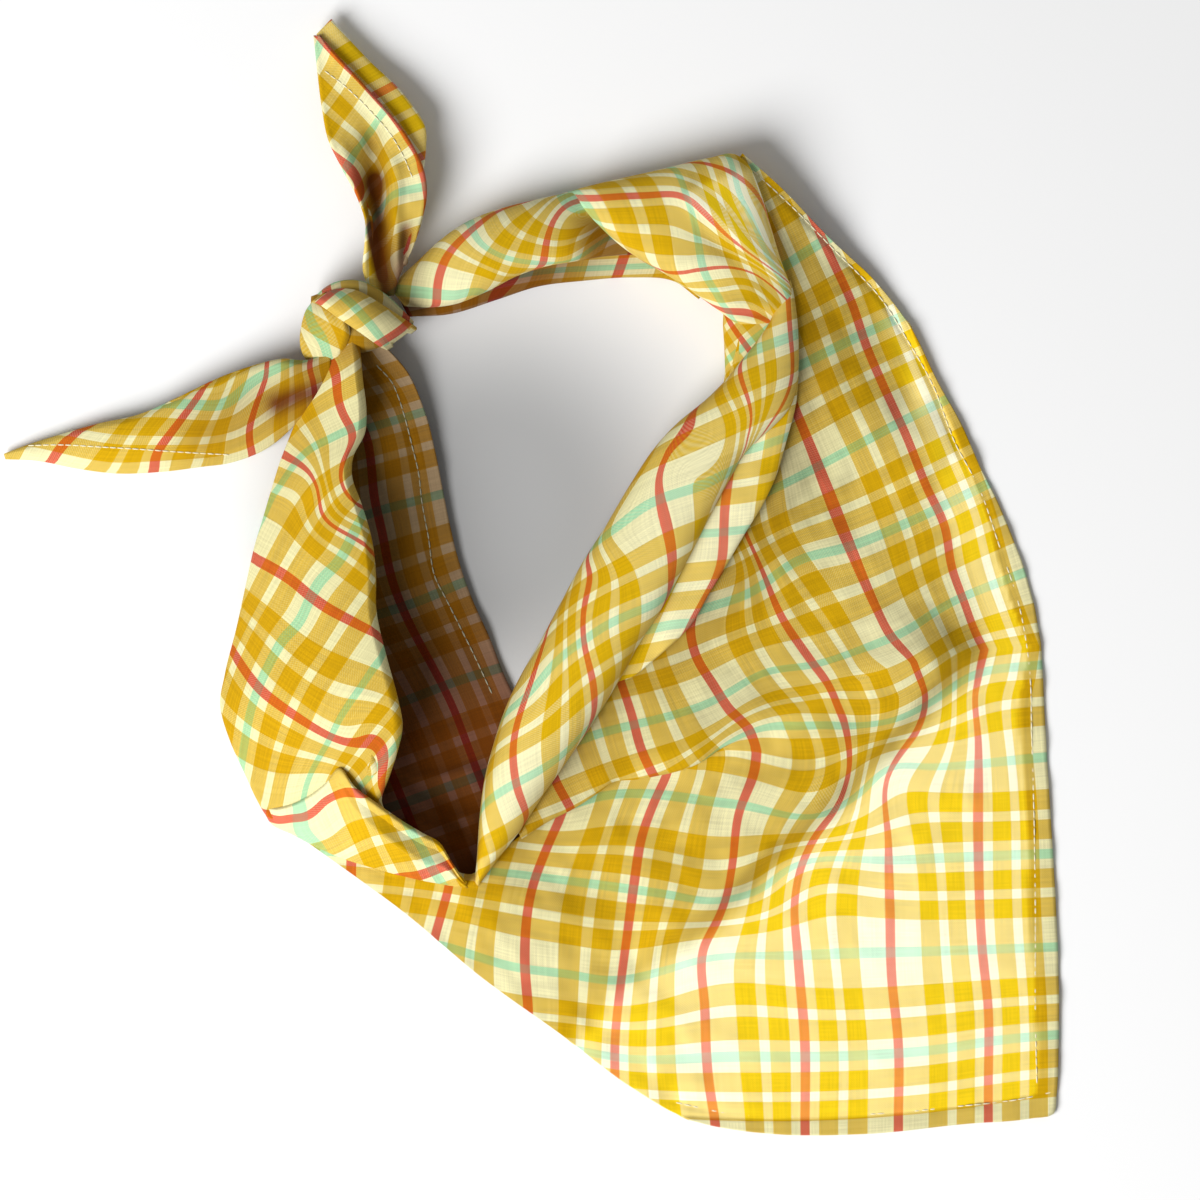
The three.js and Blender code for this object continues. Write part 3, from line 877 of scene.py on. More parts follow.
UPPER_REDS = {
    0: [(
        (83, 110), (90, 95), (96, 82), (100, 70), (106, 56), (112, 43), (118, 28), (124, 15), (126, 3),
        (131, -10), (137, -24),
    )],
    1: [((79, 50), (84, 38), (90, 23), (96, 8), (101, -4), (106, -15), (110, -23), (116, -28))],
    2: [((64, 13), (69, 2), (75, -12), (83, -24), (91, -36))],
    3: [((57.5, 4), (47.5, -15), (49, -23), (55, -33), (60.5, -42), (65, -48.5))],
    4: [((27, -32), (30, -41), (33, -52), (36, -58.4))],
    5: [((7.7, -62), (11.6, -69))],
}
UPPER_MINTS = {
    5: [((147, 1), (125, -8), (110, -17), (85, -27), (70, -29), (55, -37), (20, -47))],
    6: [((137, 28), (125, 22), (110, 15), (95, 9), (80, 5), (65, -5), (50, -10))],
    7: [((124, 53), (110, 46), (95, 38), (80, 30), (70, 25))],
    8: [((111, 78), (100, 73), (80, 63))],
    9: [((92, 103), (85, 99), (76, 93))],
    10: [((66, 122), (60, 118))],
    4: [((152, -26.5), (133, -28), (118, -36), (98, -44.5), (80, -50), (20, -76))],
}
LOWER_REDS = {
    0: [((137, -24), (133.5, -32), (134, -50), (134, -80), (135, -110), (137, -130), (137, -152))],
    1: [(
        (116, -28), (118, -38), (115, -47), (110.5, -53), (107, -59), (107, -80), (107.5, -100),
        (108, -120), (110, -140), (110, -165),
    )],
    2: [(
        (91, -36), (94, -45), (95, -58), (92, -68), (85, -78), (80.5, -88), (79, -96), (80, -115),
        (82, -140), (82, -165),
    )],
    3: [(
        (67.5, -50), (67, -57), (62, -71), (60, -87), (58, -97), (55, -104.5), (52, -110), (52, -130),
        (53, -150), (55, -163),
    )],
    4: [((40.5, -59.5), (37, -67), (33, -78), (31, -90), (29, -105), (27, -120), (25, -140), (25, -150))],
    5: [((8.5, -72.5), (4.7, -81), (0, -94), (-2, -115), (-1, -129))],
    6: [((-25, -94), (-29, -108))],
    7: [((-54, -86), (-54, -92))],
    8: [((-82, -80), (-82, -86))],
}
LOWER_MINTS = {
    0: [((155, -137.5), (140, -139), (120, -142), (100, -143.5), (60, -144), (25, -144), (15, -142))],
    1: [(
        (157, -111), (130, -112), (80, -113.5), (50, -115), (40, -118), (25, -121), (10, -119), (-5, -117),
        (-25, -111),
    )],
    2: [((156, -83), (110, -85), (78, -87), (68, -94), (55, -97), (40, -95), (25, -93), (-5, -89))],
    3: [((155, -54), (120, -57), (108, -57), (97, -66), (88, -71), (60, -68), (20, -66), (10, -69))],
    4: [((152, -26.5), (133, -29), (119, -38), (108, -43), (98, -44.5), (82, -44))],
}
RIGHT_STITCHES = (
    (66, 121.5), (76, 112.5), (90, 98.5), (105, 83), (112, 72), (120, 58), (127, 40), (134, 27), (140, 10),
    (146, -8), (149, -25), (150, -50), (151, -100), (151, -130), (151.5, -154),
)
LOWER_STITCHES = (
    (43, -157.5), (60, -161), (90, -161.5), (110, -160.5), (130, -158.5), (145, -156.8), (156, -154.5),
)
# Left of this line the turned-back half of the square lies under the cloth, and the cloth is painted duller
# there as painted shade.
SECOND_LAYER_EDGE = (
    (92, 108), (104, 84), (110, 62), (119, 36), (128, 6), (135, -14), (137, -24), (121, -40), (100, -63),
    (75, -87), (55, -106), (35, -118), (0, -150),
)

ROLL_EDGE = ((78, 84), (80, 62), (74, 33), (60, 5), (48, -15), (30, -28), (10, -55), (-6, -78))
HEM_WIDTHS = (6.6, 5.6)  # of the right hem and of the lower one
HEM_STEP = 0.8  # over this distance the cloth steps up to the hem
HEM_LIFT = 0.55  # how much higher the hem lies
DOUBLED_BLUR = 8.0  # over this distance the second layer's edge shows through
# The roll's shadow on the free corner is painted, about this wide.
ROLL_SHADE_WIDTH = 16.0
# Layers under a hem and where the cloth is doubled, painted duller for the light they hold back, and
# painted shadow of the roll beside it.
HEM_LAYERS, DOUBLED_LAYERS, ROLL_SIDE_PAINTED_SHADE = 0.9, 0.85, 0.35


def apron_surface():
    """The free corner's grid and the cloth's coordinates on it, with its fold, hems and small waves."""
    upper = fan(APRON_UPPER, FAN_PITCHES[0], CREASE_LINE, "end")
    lower = fan(APRON_LOWER, FAN_PITCHES[1], CREASE_LINE, "start")
    held = 1 - smooth_rise(np.linspace(0, 1, FAN_COLUMNS + 1), *CREASE_ENDS)
    tuck, drop = CREASE_TUCK * held + CREASE_LEAST[0], CREASE_DROP * held + CREASE_LEAST[1]
    upper[-1, :, :2] = lower[0, :, :2]
    away = np.linalg.norm(upper[:, :, :2] - lower[None, 0, :, :2], axis=2)
    upper[-1, :, 2] = lower[0, :, 2]
    upper[:, :, 2] += 2 * drop[None] * bell(away, CREASE_REACH)
    seen_upper = cloth_place(upper, UPPER_REDS, UPPER_MINTS, laid_flat=True, stiffness=4.0)
    seen_lower = cloth_place(lower, LOWER_REDS, LOWER_MINTS, laid_flat=True, stiffness=4.0)
    near = (1 - held)[None, :, None] * bell(away, MATCH_REACH)[:, :, None]
    seen_upper += (seen_lower[0] - seen_upper[-1])[None] * near
    grid, hidden = z_fold(upper, lower, tuck, drop)
    part = (np.arange(1, hidden + 1) / (hidden + 1))[:, None, None]
    between = seen_upper[-1] * (1 - part) + seen_lower[0] * part
    places = np.concatenate([seen_upper, between, seen_lower], axis=0)
    for array in (grid, places):
        first, last = len(upper) - FADE_ROWS, len(upper) + hidden + FADE_ROWS - 1
        part = np.linspace(0, 1, last - first + 1)[:, None, None]
        even = array[first] * (1 - part) + array[last] * part  # where the fold has faded out
        array[first : last + 1] = array[first : last + 1] * held[:, None] + even * (1 - held[:, None])
    x, y = grid[:, :, 0], grid[:, :, 1]
    grid[:, :, 2] += lift_of(x, y, APRON_FOLDS)
    grid[:, :, 2] += ripple(x, y, height=0.22, seed=5, length=16)
    grid[:, :, 2] += ripple(x, y, height=0.09, seed=6, length=6)
    grid[:, :, 2] -= groove_of(x, y, 0.5, RIGHT_STITCHES, LOWER_STITCHES)
    return grid, places


class BANDANA_OT_apron(bpy.types.Operator):
    """The free corner that spreads to the lower right, with its two hems and stitches"""

    bl_idname = "bandana.apron"
    bl_label = "Free corner"

    def execute(self, context):
        grid, places = apron_surface()
        u, v = places[:, :, 0], places[:, :, 1]
        in_hem = np.maximum(
            smooth_step((HEM_WIDTHS[0] - (u - RIGHT_HEM)) / HEM_STEP),
            smooth_step((HEM_WIDTHS[1] - (v - LOWER_HEM)) / HEM_STEP),
        )
        grid[:, :, 2] += HEM_LIFT * in_hem
        x, y = grid[:, :, 0], grid[:, :, 1]
        doubled = smooth_step(0.5 - beside_line(x, y, SECOND_LAYER_EDGE)[0] / DOUBLED_BLUR)
        layers_and_painted_shade = np.maximum(HEM_LAYERS * in_hem, DOUBLED_LAYERS * doubled)
        # Painted shadow of the roll on the cloth beside it.
        layers_and_painted_shade = layers_and_painted_shade + ROLL_SIDE_PAINTED_SHADE * bell(beside_line(x, y, ROLL_EDGE)[0], ROLL_SHADE_WIDTH)
        piece = make_sheet("free_corner", grid, places, layers_and_painted_shade)
        right = make_stitches("right_hem_stitches", grid, RIGHT_STITCHES)
        lower = make_stitches("lower_hem_stitches", grid, LOWER_STITCHES)
        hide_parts("bandana")
        return {"FINISHED"}


# The rolled neckline

# Rows are the outer edge with the underside's height, then the inner edge with the top's height.
RIGHT_ROLL = (
    ((77.5, 89, 8), (74, 86, 11)),
    ((78.5, 84, 7), (71.5, 77.5, 13.5)),
    ((79.4, 77, 6), (67, 70.5, 16)),
    ((79.8, 69, 5), (62, 64.5, 18)),
    ((79.6, 60, 3), (57, 58.6, 19.5)),
    ((77.5, 51, 2), (51, 52.8, 20.5)),
    ((72, 44.5, 2), (42.8, 46, 21)),
    ((65, 38, 1), (36.5, 39, 21.5)),
    ((58.3, 26.5, 0), (29, 27.5, 22)),
    ((51, 12, 0), (21.5, 14.5, 22)),
    ((44.5, -1, 0), (15.5, 5, 22)),
    ((39.5, -10.5, 0), (9.3, -6.4, 22)),
    ((33.5, -19.5, 0), (2.4, -19.4, 21.5)),
    ((27, -31, 0), (-3, -28.6, 21)),
    ((19, -43.5, 0), (-7.6, -37.8, 20)),
    ((11, -55, 0), (-11.4, -48.5, 19)),
    ((3.5, -65.5, 0), (-14.5, -60, 17.5)),
    ((-3.5, -76, 0), (-16, -71.4, 15.5)),
    ((-10.5, -85, 0.5), (-16.6, -83, 12.5)),
    ((-16, -92.5, 1), (-17.2, -91, 8)),
)
ROLL_REDS = {
    1: [((77.3, 72), (78, 64), (77.2, 57), (75, 51.5), (72.5, 47.5), (69.5, 44), (66.5, 41))],
    2: [((63, 65.4), (62, 60), (63.5, 56), (65, 51), (66, 47), (66, 43), (65, 39.5))],
    2.15: [((61.5, 34),)],
    2.36: [((57, 25.5),)],
    2.67: [((47.6, 28.6), (48.4, 20), (48.6, 14), (48, 8))],
    3.3: [((23.5, 13), (26.5, 19), (29.5, 24.5), (33.5, 30.5), (37.5, 36.5))],
    3: [(
        (39.5, 37), (38.3, 34), (37.8, 29), (38.8, 24), (40, 19), (41.2, 14), (42, 9), (42.3, 4),
        (41.5, -2), (40.7, -6),
    )],
    4: [(
        (18, 1), (17, -3), (15.7, -8), (15.3, -13), (15.3, -17), (16, -22), (17.5, -27), (18.5, -32),
        (18.8, -37), (18.3, -42), (17, -45),
    )],
    5: [(
        (4.5, -18), (3, -22), (1, -28), (-1, -34), (-3.5, -41), (-5, -47), (-5.5, -52), (-5.3, -56),
        (-4.8, -60), (-4, -64), (-2.5, -68), (-1.3, -72),
    )],
}
ROLL_MINTS = {
    0: [((76.5, 71.5), (71, 69.5), (65.5, 67.5))],
    1: [((61, 33), (58, 31), (55, 29.5), (50, 27), (45, 25.5), (40, 24), (35, 22), (30, 18.5), (25, 14.5))],
    2: [(
        (39, -6.5), (36, -8.5), (33, -9.5), (28, -11.5), (24, -13.5), (20, -15.5), (17.5, -17.5), (14, -20),
        (11, -22), (8, -24.5), (5, -27.5), (2, -31.5), (-2, -36),
    )],
    3: [(
        (16, -46), (14, -48), (11, -51.5), (8, -54), (4, -56.5), (0, -59), (-4, -61), (-8, -63),
        (-10.5, -65),
    )],
    4: [((4, -90), (-8, -94), (-18, -98))],
}

LEFT_LOBE = (
    ((-43, 87, 5), (-38, 81, 12)),
    ((-35, 94, 3), (-30, 80.5, 15)),
    ((-28, 100.5, 2), (-22, 81.5, 17)),
    ((-20, 106, 1.5), (-13, 85, 18.5)),
    ((-10, 110, 1), (-4, 89.5, 18.5)),
    ((0, 112.6, 1), (5, 92.4, 17.5)),
    ((9, 114.6, 1), (14, 94, 15.5)),
    ((17, 116, 2), (22, 95.5, 13)),
    ((25, 116, 3), (31, 96, 10)),
    ((33, 115, 3), (38, 95, 8)),
)
LEFT_LOBE_REDS = {
    -1: [(
        (0, 112.3), (-5, 111.3), (-10, 109.5), (-13.6, 107), (-20.3, 101.6), (-25.4, 95.7), (-27.9, 89),
        (-28.8, 80.6),
    )],
    0: [(
        (20, 113.2), (15, 112.7), (11, 112), (8.5, 110), (6.5, 107), (5.2, 103), (4.4, 100), (3.9, 97),
        (3.4, 93.5),
    )],
    1: [((34, 108), (30, 100), (30, 96))],
    -2: [((-45, 100), (-50, 85))],
}
LEFT_LOBE_MINTS = {
    0: [(
        (-17.8, 106.7), (-17, 101.6), (-13.5, 97.8), (-9, 95.5), (-5, 94.5), (0, 94), (5, 93.8), (10, 94),
        (14, 95.5), (18, 98.5), (22, 101.5),
    )],
    1: [((-38, 85.6), (-28.8, 84.8), (-20.3, 84), (-17, 86.5), (-8, 72), (12, 68), (26, 68))],
    -1: [((-25, 132), (0, 128), (12, 116), (14, 110), (16, 108))],
}

RIGHT_LOBE = (
    ((9, 114.8, 5), (11, 111, 9)),
    ((14, 116.2, 5), (15, 109.2, 13)),
    ((19.5, 117.6, 3), (18, 106.4, 16.6)),
    ((26, 119.1, 1), (21.5, 102.8, 18.5)),
    ((33, 120.6, 1), (26.6, 98.2, 19.5)),
    ((40, 122.2, 1), (32.5, 93.9, 20.5)),
    ((47, 124, 1), (38.2, 90.6, 21)),
    ((54, 125.6, 1), (43.6, 87.1, 21)),
    ((60, 126.8, 1), (47.5, 84.5, 21)),
    ((64.2, 124.5, 1.5), (51, 82.2, 20.5)),
    ((68.4, 115.8, 2), (54, 80.3, 20)),
    ((71.6, 105.5, 3), (56, 79.1, 19)),
    ((75, 94.5, 4), (57.8, 78, 17.5)),
    ((78, 86.5, 5), (60, 76.5, 15)),
    ((78.8, 81, 5), (64, 74, 12)),
    ((77, 77, 5), (69.5, 71.5, 9)),
)
RIGHT_LOBE_REDS = {
    0: [(
        (19, 113), (25, 113.6), (35, 113.8), (43, 114.2), (46, 113.5), (50, 110), (55, 105), (60, 100),
        (65, 96), (70, 91.7), (74.5, 88),
    )],
    1: [(
        (35, 92.3), (40, 91.2), (45, 90.8), (50, 91.3), (55, 92), (60, 92.5), (65, 91.6), (70, 89.8),
        (74, 86.5),
    )],
    2: [((51, 82.6), (56.5, 79.9), (62, 79), (67, 78), (72, 75.8))],
    -1: [((49.5, 123.7), (54, 122.8), (58, 121.3), (62, 119.3), (65, 117), (70, 110.5), (76, 98))],
}
RIGHT_LOBE_MINTS = {
    0: [((13, 114), (17, 109.5), (20.5, 104))],
    1: [(
        (44.5, 119), (45.5, 115), (47, 111), (48.5, 106), (49.5, 101), (50.2, 96), (51.2, 91), (53, 87),
        (56, 83.8),
    )],
    2: [((62, 113), (64.5, 109), (66.5, 105), (68, 101), (69.5, 97.5), (72.5, 92))],
}
LOBE_CREASE = ((74, 126), (60, 120), (46, 113.5), (55, 105), (65, 96), (74.5, 88), (80, 84))
LOBE_LAYERS = (0.75, 0.0)  # layers below the crease and above it
LOBE_FOLDS = (
    (1.6, 5.0, 3.0, 0.15, ((40, 118), (46, 113.5), (55, 105), (65, 96), (76, 87))),
    (-1.3, 3.0, 3.0, 0.2, ((48, 107), (58, 98), (68, 90.5), (75, 85))),
    (1.0, 4.0, 4.0, 0.2, ((36, 93.5), (50, 93), (62, 94), (72, 88))),
    (0.9, 1.6, 1.6, 0.15, ((46, 85), (54, 82), (66, 81), (75, 80.5))),
    (-0.9, 1.3, 1.3, 0.15, ((50, 84), (58, 79.5), (66, 79), (74, 78))),
    (0.8, 1.2, 1.2, 0.15, ((55, 80), (62, 77.5), (68, 76.5), (74, 76))),
)

UNDER_STRIP = (
    ((-40, 84, 0), (-37, 78, 6)),
    ((-28, 90, 0), (-25, 78.7, 7)),
    ((-12, 98, 0), (-10, 83.2, 7)),
    ((2, 102, 0), (2, 87, 7)),
    ((16, 104, 0), (15, 88.6, 7)),
    ((30, 105, 0), (30, 89.6, 8)),
    ((42, 104, 0), (42, 88.6, 8)),
    ((52, 98, 0), (50, 83, 8)),
)
GATHER = (
    ((78, 85, 1), (57.5, 81, 12)),
    ((77, 78, 1), (57.2, 76, 12)),
    ((76, 70, 1), (57.6, 68, 11.5)),
    ((74, 62, 1), (57.6, 59.8, 10.5)),
    ((70, 54, 1), (56, 54, 8)),
)
# Rows are the two edges, then the crown and the two tucks, as in every run with turned edges.
OUTER_STRIP = (
    ((71, 62, 12), (79.9, 61.5, 10), (0.8, 0, 3)),
    ((69, 52, 12.4), (79, 51.5, 11), (1.2, 0, 4)),
    ((65, 42, 12.6), (76.4, 41.5, 11.5), (1.4, 0, 5)),
    ((57.5, 33.5, 12.6), (73.2, 30.5, 11.8), (1.4, 0, 6)),
    ((50, 24, 12.6), (69.2, 21.8, 11.8), (1.4, 0, 6)),
    ((44, 12.5, 12.6), (63.8, 13, 11.6), (1.4, 0, 6)),
    ((39, 2, 12.2), (59, 4.8, 11.2), (1.4, 0, 6)),
    ((34, -8, 11.6), (53.2, -4.8, 10.6), (1.2, 0, 6)),
    ((31, -18, 10.6), (47.6, -14.4, 9.8), (1, 0, 5)),
    ((26, -26, 9.2), (39, -22.8, 8.8), (0.5, 0, 4)),
    ((24, -32, 7.6), (31, -29.5, 7.6), (0, 0, 2)),
)
STRIP_REDS = {
    1: [(
        (58.2, 25.5), (57.5, 20), (57.3, 15), (57.2, 10), (56.8, 5), (55.5, 0), (53, -4.5), (50.3, -9.5),
        (47.4, -14.5),
    )],
    2: [((84, 24), (80, -5))],
}
STRIP_MINTS = {
    2: [((66, 38), (70, 39.5), (76, 41.8))],
    1: [((49.5, 13), (53, 12.8), (58, 13.5), (63, 14))],
    0: [((37, -15.5), (40, -14.5), (45, -14), (48.5, -14))],
}


UNDER_REDS = {
    0: [((-12, 83.5), (-8, 87.5), (-5, 90.5))],
    1: [((24.8, 88.5), (26, 92), (28, 97))],
    -1: [((-40, 82), (-36, 76))],
}
UNDER_MINTS = {0: [((-30, 83), (0, 91), (30, 93))], 1: [((-30, 70), (0, 75), (30, 76))]}
GATHER_REDS = {
    0: [((58.8, 76.4), (62, 72), (64.7, 68))],
    1: [((76, 90), (80, 84))],
    -1: [((50, 66), (54, 58))],
}
GATHER_MINTS = {0: [((58, 64.5), (61.5, 67.3), (66, 71))], 1: [((58, 40), (70, 50))]}
SEAM_LINES = 3  # lines of the mesh at the right lobe's seam that its folds leave alone


def roll_painted_shade(columns):
    """Painted shade round the roll: more on its inner side, where the light doesn't come through."""
    share = np.linspace(0, 1, columns)
    return 0.6 + 0.6 * smooth_rise(share, 0.45, 0.8)


def left_lobe_painted_shade(x, y):
    """Painted shade over the left lobe: more where it goes under the right one, and next to the knot."""
    return 0.7 + 1.1 * smooth_rise(x, 6, 20) * smooth_rise(y, 111, 106) + 0.7 * smooth_rise(x, -24, -38)


def right_lobe_layers(x, y):
    """Layers over the right lobe: from those below its crease to those above it."""
    below, above = LOBE_LAYERS
    return below + (above - below) * smooth_step(0.5 + beside_line(x, y, LOBE_CREASE)[0] / 3.0)


class BANDANA_OT_neck_roll(bpy.types.Operator):
    """The rolled neckline: its long right side, the two lobes along the top and what shows under them"""

    bl_idname = "bandana.neck_roll"
    bl_label = "Rolled neckline"

    def execute(self, context):
        grid = tube(RIGHT_ROLL, twists=1.1, folds=3, depth=0.07, phase=0.6)
        places = cloth_place(grid, ROLL_REDS, ROLL_MINTS)
        piece = make_sheet("right_roll", grid, places, roll_painted_shade(grid.shape[1]))
        grid = tube(LEFT_LOBE, twists=0.6, folds=3, depth=0.06, phase=2.0)
        places = cloth_place(grid, LEFT_LOBE_REDS, LEFT_LOBE_MINTS)
        piece = make_sheet("left_lobe", grid, places, left_lobe_painted_shade(grid[:, :, 0], grid[:, :, 1]))
        grid = tube(RIGHT_LOBE, twists=0.6, folds=3, depth=0.06, phase=1.0)
        x, y = grid[:, :, 0], grid[:, :, 1]
        up = smooth_step(np.abs(normals_of(grid)[:, :, 2]) * 2) * (np.arange(grid.shape[1]) > SEAM_LINES)
        grid[:, :, 2] += lift_of(x, y, LOBE_FOLDS) * up
        places = cloth_place(grid, RIGHT_LOBE_REDS, RIGHT_LOBE_MINTS)
        piece = make_sheet("right_lobe", grid, places, right_lobe_layers(x, y))
        grid = tube(UNDER_STRIP, twists=0.3, folds=2, depth=0.05)
        # Painted shade under the left lobe, darkest at its left end.
        layers_and_painted_shade = 1.9 - 0.7 * smooth_rise(grid[:, :, 0], 0, 30)
        piece = make_sheet("under_strip", grid, cloth_place(grid, UNDER_REDS, UNDER_MINTS), layers_and_painted_shade)
        grid = tube(GATHER, twists=0.2, folds=4, depth=0.06)
        piece = make_sheet("gather_turn", grid, cloth_place(grid, GATHER_REDS, GATHER_MINTS), layers_and_painted_shade=1.0)
        grid = ribbon(OUTER_STRIP, radius=1.1)
        grid[:, :, 2] += ripple(grid[:, :, 0], grid[:, :, 1], height=0.15, seed=8, length=12)
        piece = make_sheet("outer_strip", grid, cloth_place(grid, STRIP_REDS, STRIP_MINTS), layers_and_painted_shade=0.55)
        return {"FINISHED"}


# The left arm

# Rows are the outline's edge, the fold over the pocket, and the crown with the tuck at each edge.
FRONT = (
    ((-59.5, 72, 12), (-52, 74, 14), (0.5, 2, 2)),
    ((-62.5, 65.5, 10), (-51, 67, 15), (1.0, 3, 3)),
    ((-66.5, 58, 7), (-50.2, 58.5, 16), (2, 8, 4)),
    ((-69.7, 49.5, 5.6), (-49.2, 50, 17), (3, 12, 4)),
    ((-72.6, 42, 5), (-49.6, 43, 17.5), (4, 14, 5)),
    ((-75.5, 34.5, 4.6), (-53, 36, 18.5), (4, 15, 5)),
    ((-78, 26.5, 4.6), (-53.4, 30, 19.5), (4.4, 16, 6)),
    ((-80.5, 18, 4.4), (-50.6, 22, 21), (5, 18, 6)),
    ((-83.2, 9, 4.4), (-47.6, 12, 22.5), (6, 20, 7)),
    ((-86, -3.6, 4.4), (-46.2, 1, 24), (6, 22, 7)),
    ((-88.5, -15, 4.4), (-46, -10, 25), (6, 24, 8)),
    ((-92, -29, 4.4), (-43, -23.5, 26.5), (6, 26, 8)),
    ((-93.3, -39.5, 4.4), (-39.6, -36, 27.5), (5, 26, 8)),
    ((-90.5, -49, 4.4), (-38.2, -44, 27), (3.5, 26, 7)),
    ((-86, -59, 4.6), (-39.6, -51.5, 26), (2, 24, 6)),
    ((-82, -67.5, 4.8), (-42, -59, 24), (0, 18, 5)),
    ((-78.5, -72.5, 4.2), (-44.5, -66, 20), (-2, 14, 4)),
    ((-70, -76, 3.4), (-43, -71, 15), (-2, 8, 3)),
)
FRONT_REDS = {
    0: [(
        (-75, 37), (-71.4, 35), (-66.5, 31.5), (-64, 27.6), (-63, 22.7), (-62.3, 18.5), (-58.5, 15),
        (-53.7, 12.3), (-50, 10), (-47.5, 7.5),
    )],
    1: [((-83.7, 6.2), (-78, 3), (-72, -0.5), (-66, -5.4), (-59.8, -9.7), (-53.7, -12.8), (-46, -17))],
    2: [(
        (-89.8, -21.6), (-85.5, -28), (-80.6, -33.8), (-73.3, -39.3), (-65.3, -44.5), (-60, -47.5),
        (-56, -49), (-53, -49.8), (-50.5, -49), (-48.5, -48.2), (-46.5, -48.2), (-45, -49.5), (-44, -52),
        (-43.8, -55), (-44.2, -58), (-45, -62),
    )],
    3: [((-79.4, -71.8), (-74, -71.8), (-67, -71), (-63, -68), (-58, -65))],
    -1: [(
        (-61, 66), (-59, 63), (-58, 59), (-58, 55), (-56, 48), (-53.2, 43), (-53.8, 38), (-56.2, 34),
        (-57, 30), (-55.5, 25.5), (-52.8, 22.5),
    )],
}
FRONT_MINTS = {
    -1: [(
        (-80.6, 17.8), (-77.6, 24), (-74, 29.5), (-69, 36), (-65, 39), (-60, 41.3), (-55, 43.8), (-50, 46),
    )],
    0: [(
        (-85.5, -47), (-84.3, -40.6), (-81, -31.4), (-77, -23.4), (-73, -17), (-70, -14.6), (-66.5, -7.3),
        (-63, -1), (-58, 3.8), (-54.3, 10), (-51, 17.8),
    )],
    1: [(
        (-69, -75), (-68, -65), (-66.5, -60), (-64, -55), (-61, -50), (-56.7, -41.5), (-50.6, -32.6),
        (-44.5, -23.4),
    )],
    2: [((-46.8, -57.5), (-49, -60.5), (-52, -63))],
}
FRONT_FOLDS = (
    (3.6, 2.8, 1.8, 0.12, (
        (-60, 66), (-58.8, 58), (-56.5, 50), (-54.4, 43), (-56, 36), (-58.2, 30), (-57, 24), (-52, 16),
        (-48, 9),
    )),
    (-4.2, 1.5, 1.8, 0.12, (
        (-56, 68), (-55, 57), (-52.3, 49), (-51.3, 43), (-53.4, 36), (-54.8, 31), (-53.6, 25), (-50, 17),
    )),
    (-3.4, 2.8, 1.9, 0.15, (
        (-64, 54), (-61.3, 45), (-60, 39), (-62, 32), (-61.4, 24.5), (-57.6, 18), (-51, 12.4),
    )),
    (2.6, 5.0, 2.2, 0.2, ((-68, 46), (-66, 38), (-65.8, 30), (-64.6, 22), (-58.5, 14), (-51, 7))),
    (1.4, 8.0, 6.0, 0.2, ((-84, 0), (-74, -12), (-62, -30), (-52, -42))),
    (-1.4, 7.0, 7.0, 0.2, ((-88, -14), (-78, -30), (-66, -42), (-55, -50))),
    (-4.0, 4.5, 3.0, 0.25, ((-66, -59.6), (-60.5, -55.5), (-56, -52.3), (-50, -50.3), (-46, -51))),
    (2.6, 2.6, 2.6, 0.2, ((-57, -57.5), (-53.5, -54.5), (-49.5, -53), (-47, -55.5), (-46.5, -61))),
    (1.2, 4.0, 5.0, 0.2, ((-64, -44), (-56, -45.5), (-48, -45.5), (-41.5, -50))),
)
# The cloth below the pocket, from the left arm's foot to the point where it meets the roll.
LIP = (
    ((-80.5, -70, 3.6), (-79.6, -69.2, 5), (0, 1, 0.6)),
    ((-78, -74, 4.4), (-74, -68.6, 8.6), (0.3, 2, 1)),
    ((-72, -77, 5), (-67.6, -66, 13), (0.6, 3, 2)),
    ((-65, -80.6, 5.6), (-61.5, -61.5, 18), (1, 4, 3)),
    ((-58, -83.8, 6), (-57, -56.8, 22.2), (1, 6, 4)),
    ((-51.5, -86, 6), (-52.5, -62.4, 24), (1.2, 7, 6)),
    ((-45, -87.9, 6), (-46.3, -67, 23.6), (1.4, 8, 8)),
    ((-38.5, -89.6, 6), (-39, -72.2, 21.8), (1.4, 8, 8)),
    ((-32.5, -91, 5.8), (-32.4, -76.3, 19), (1.2, 7, 8)),
    ((-27, -92, 5.6), (-27.4, -79.2, 16.6), (0.8, 6, 6)),
    ((-23.2, -92.7, 5.4), (-24.2, -84.4, 14), (0.5, 4, 4)),
    ((-19.4, -93, 5), (-20, -91.2, 10), (0, 1.5, 1.5)),
)
LIP_REDS = {
    2.75: [((-78, -66), (-70, -65.5), (-64, -62.5), (-58, -58))],
    3.33: [((-75, -79.5), (-67, -79.8), (-60, -77.5), (-55, -73.5), (-50, -71.8), (-46, -71))],
    3: [(
        (-79.5, -71.5), (-77.5, -73), (-74, -72.3), (-70, -71.7), (-67, -71.5), (-64.5, -69.5),
        (-62, -66.8), (-58.5, -65), (-55, -63.9), (-52.5, -63.9), (-50.5, -64.8),
    )],
    4: [((-38.5, -89.8), (-35, -89.6), (-32, -88.7), (-28, -87), (-24, -85.5))],
}
LIP_MINTS = {
    1: [((-69, -70), (-70, -73), (-69, -76), (-67, -79), (-64, -81))],
    2: [((-36, -76), (-33.5, -80), (-31.5, -84), (-29.5, -88), (-27.5, -91))],
}
LIP_FOLDS = (
    (-1.6, 3.0, 3.0, 0.3, ((-74, -70.5), (-66, -70), (-60, -65), (-56.5, -60))),
    (1.0, 5.0, 5.0, 0.3, ((-62, -76), (-50, -79), (-38, -84))),
)

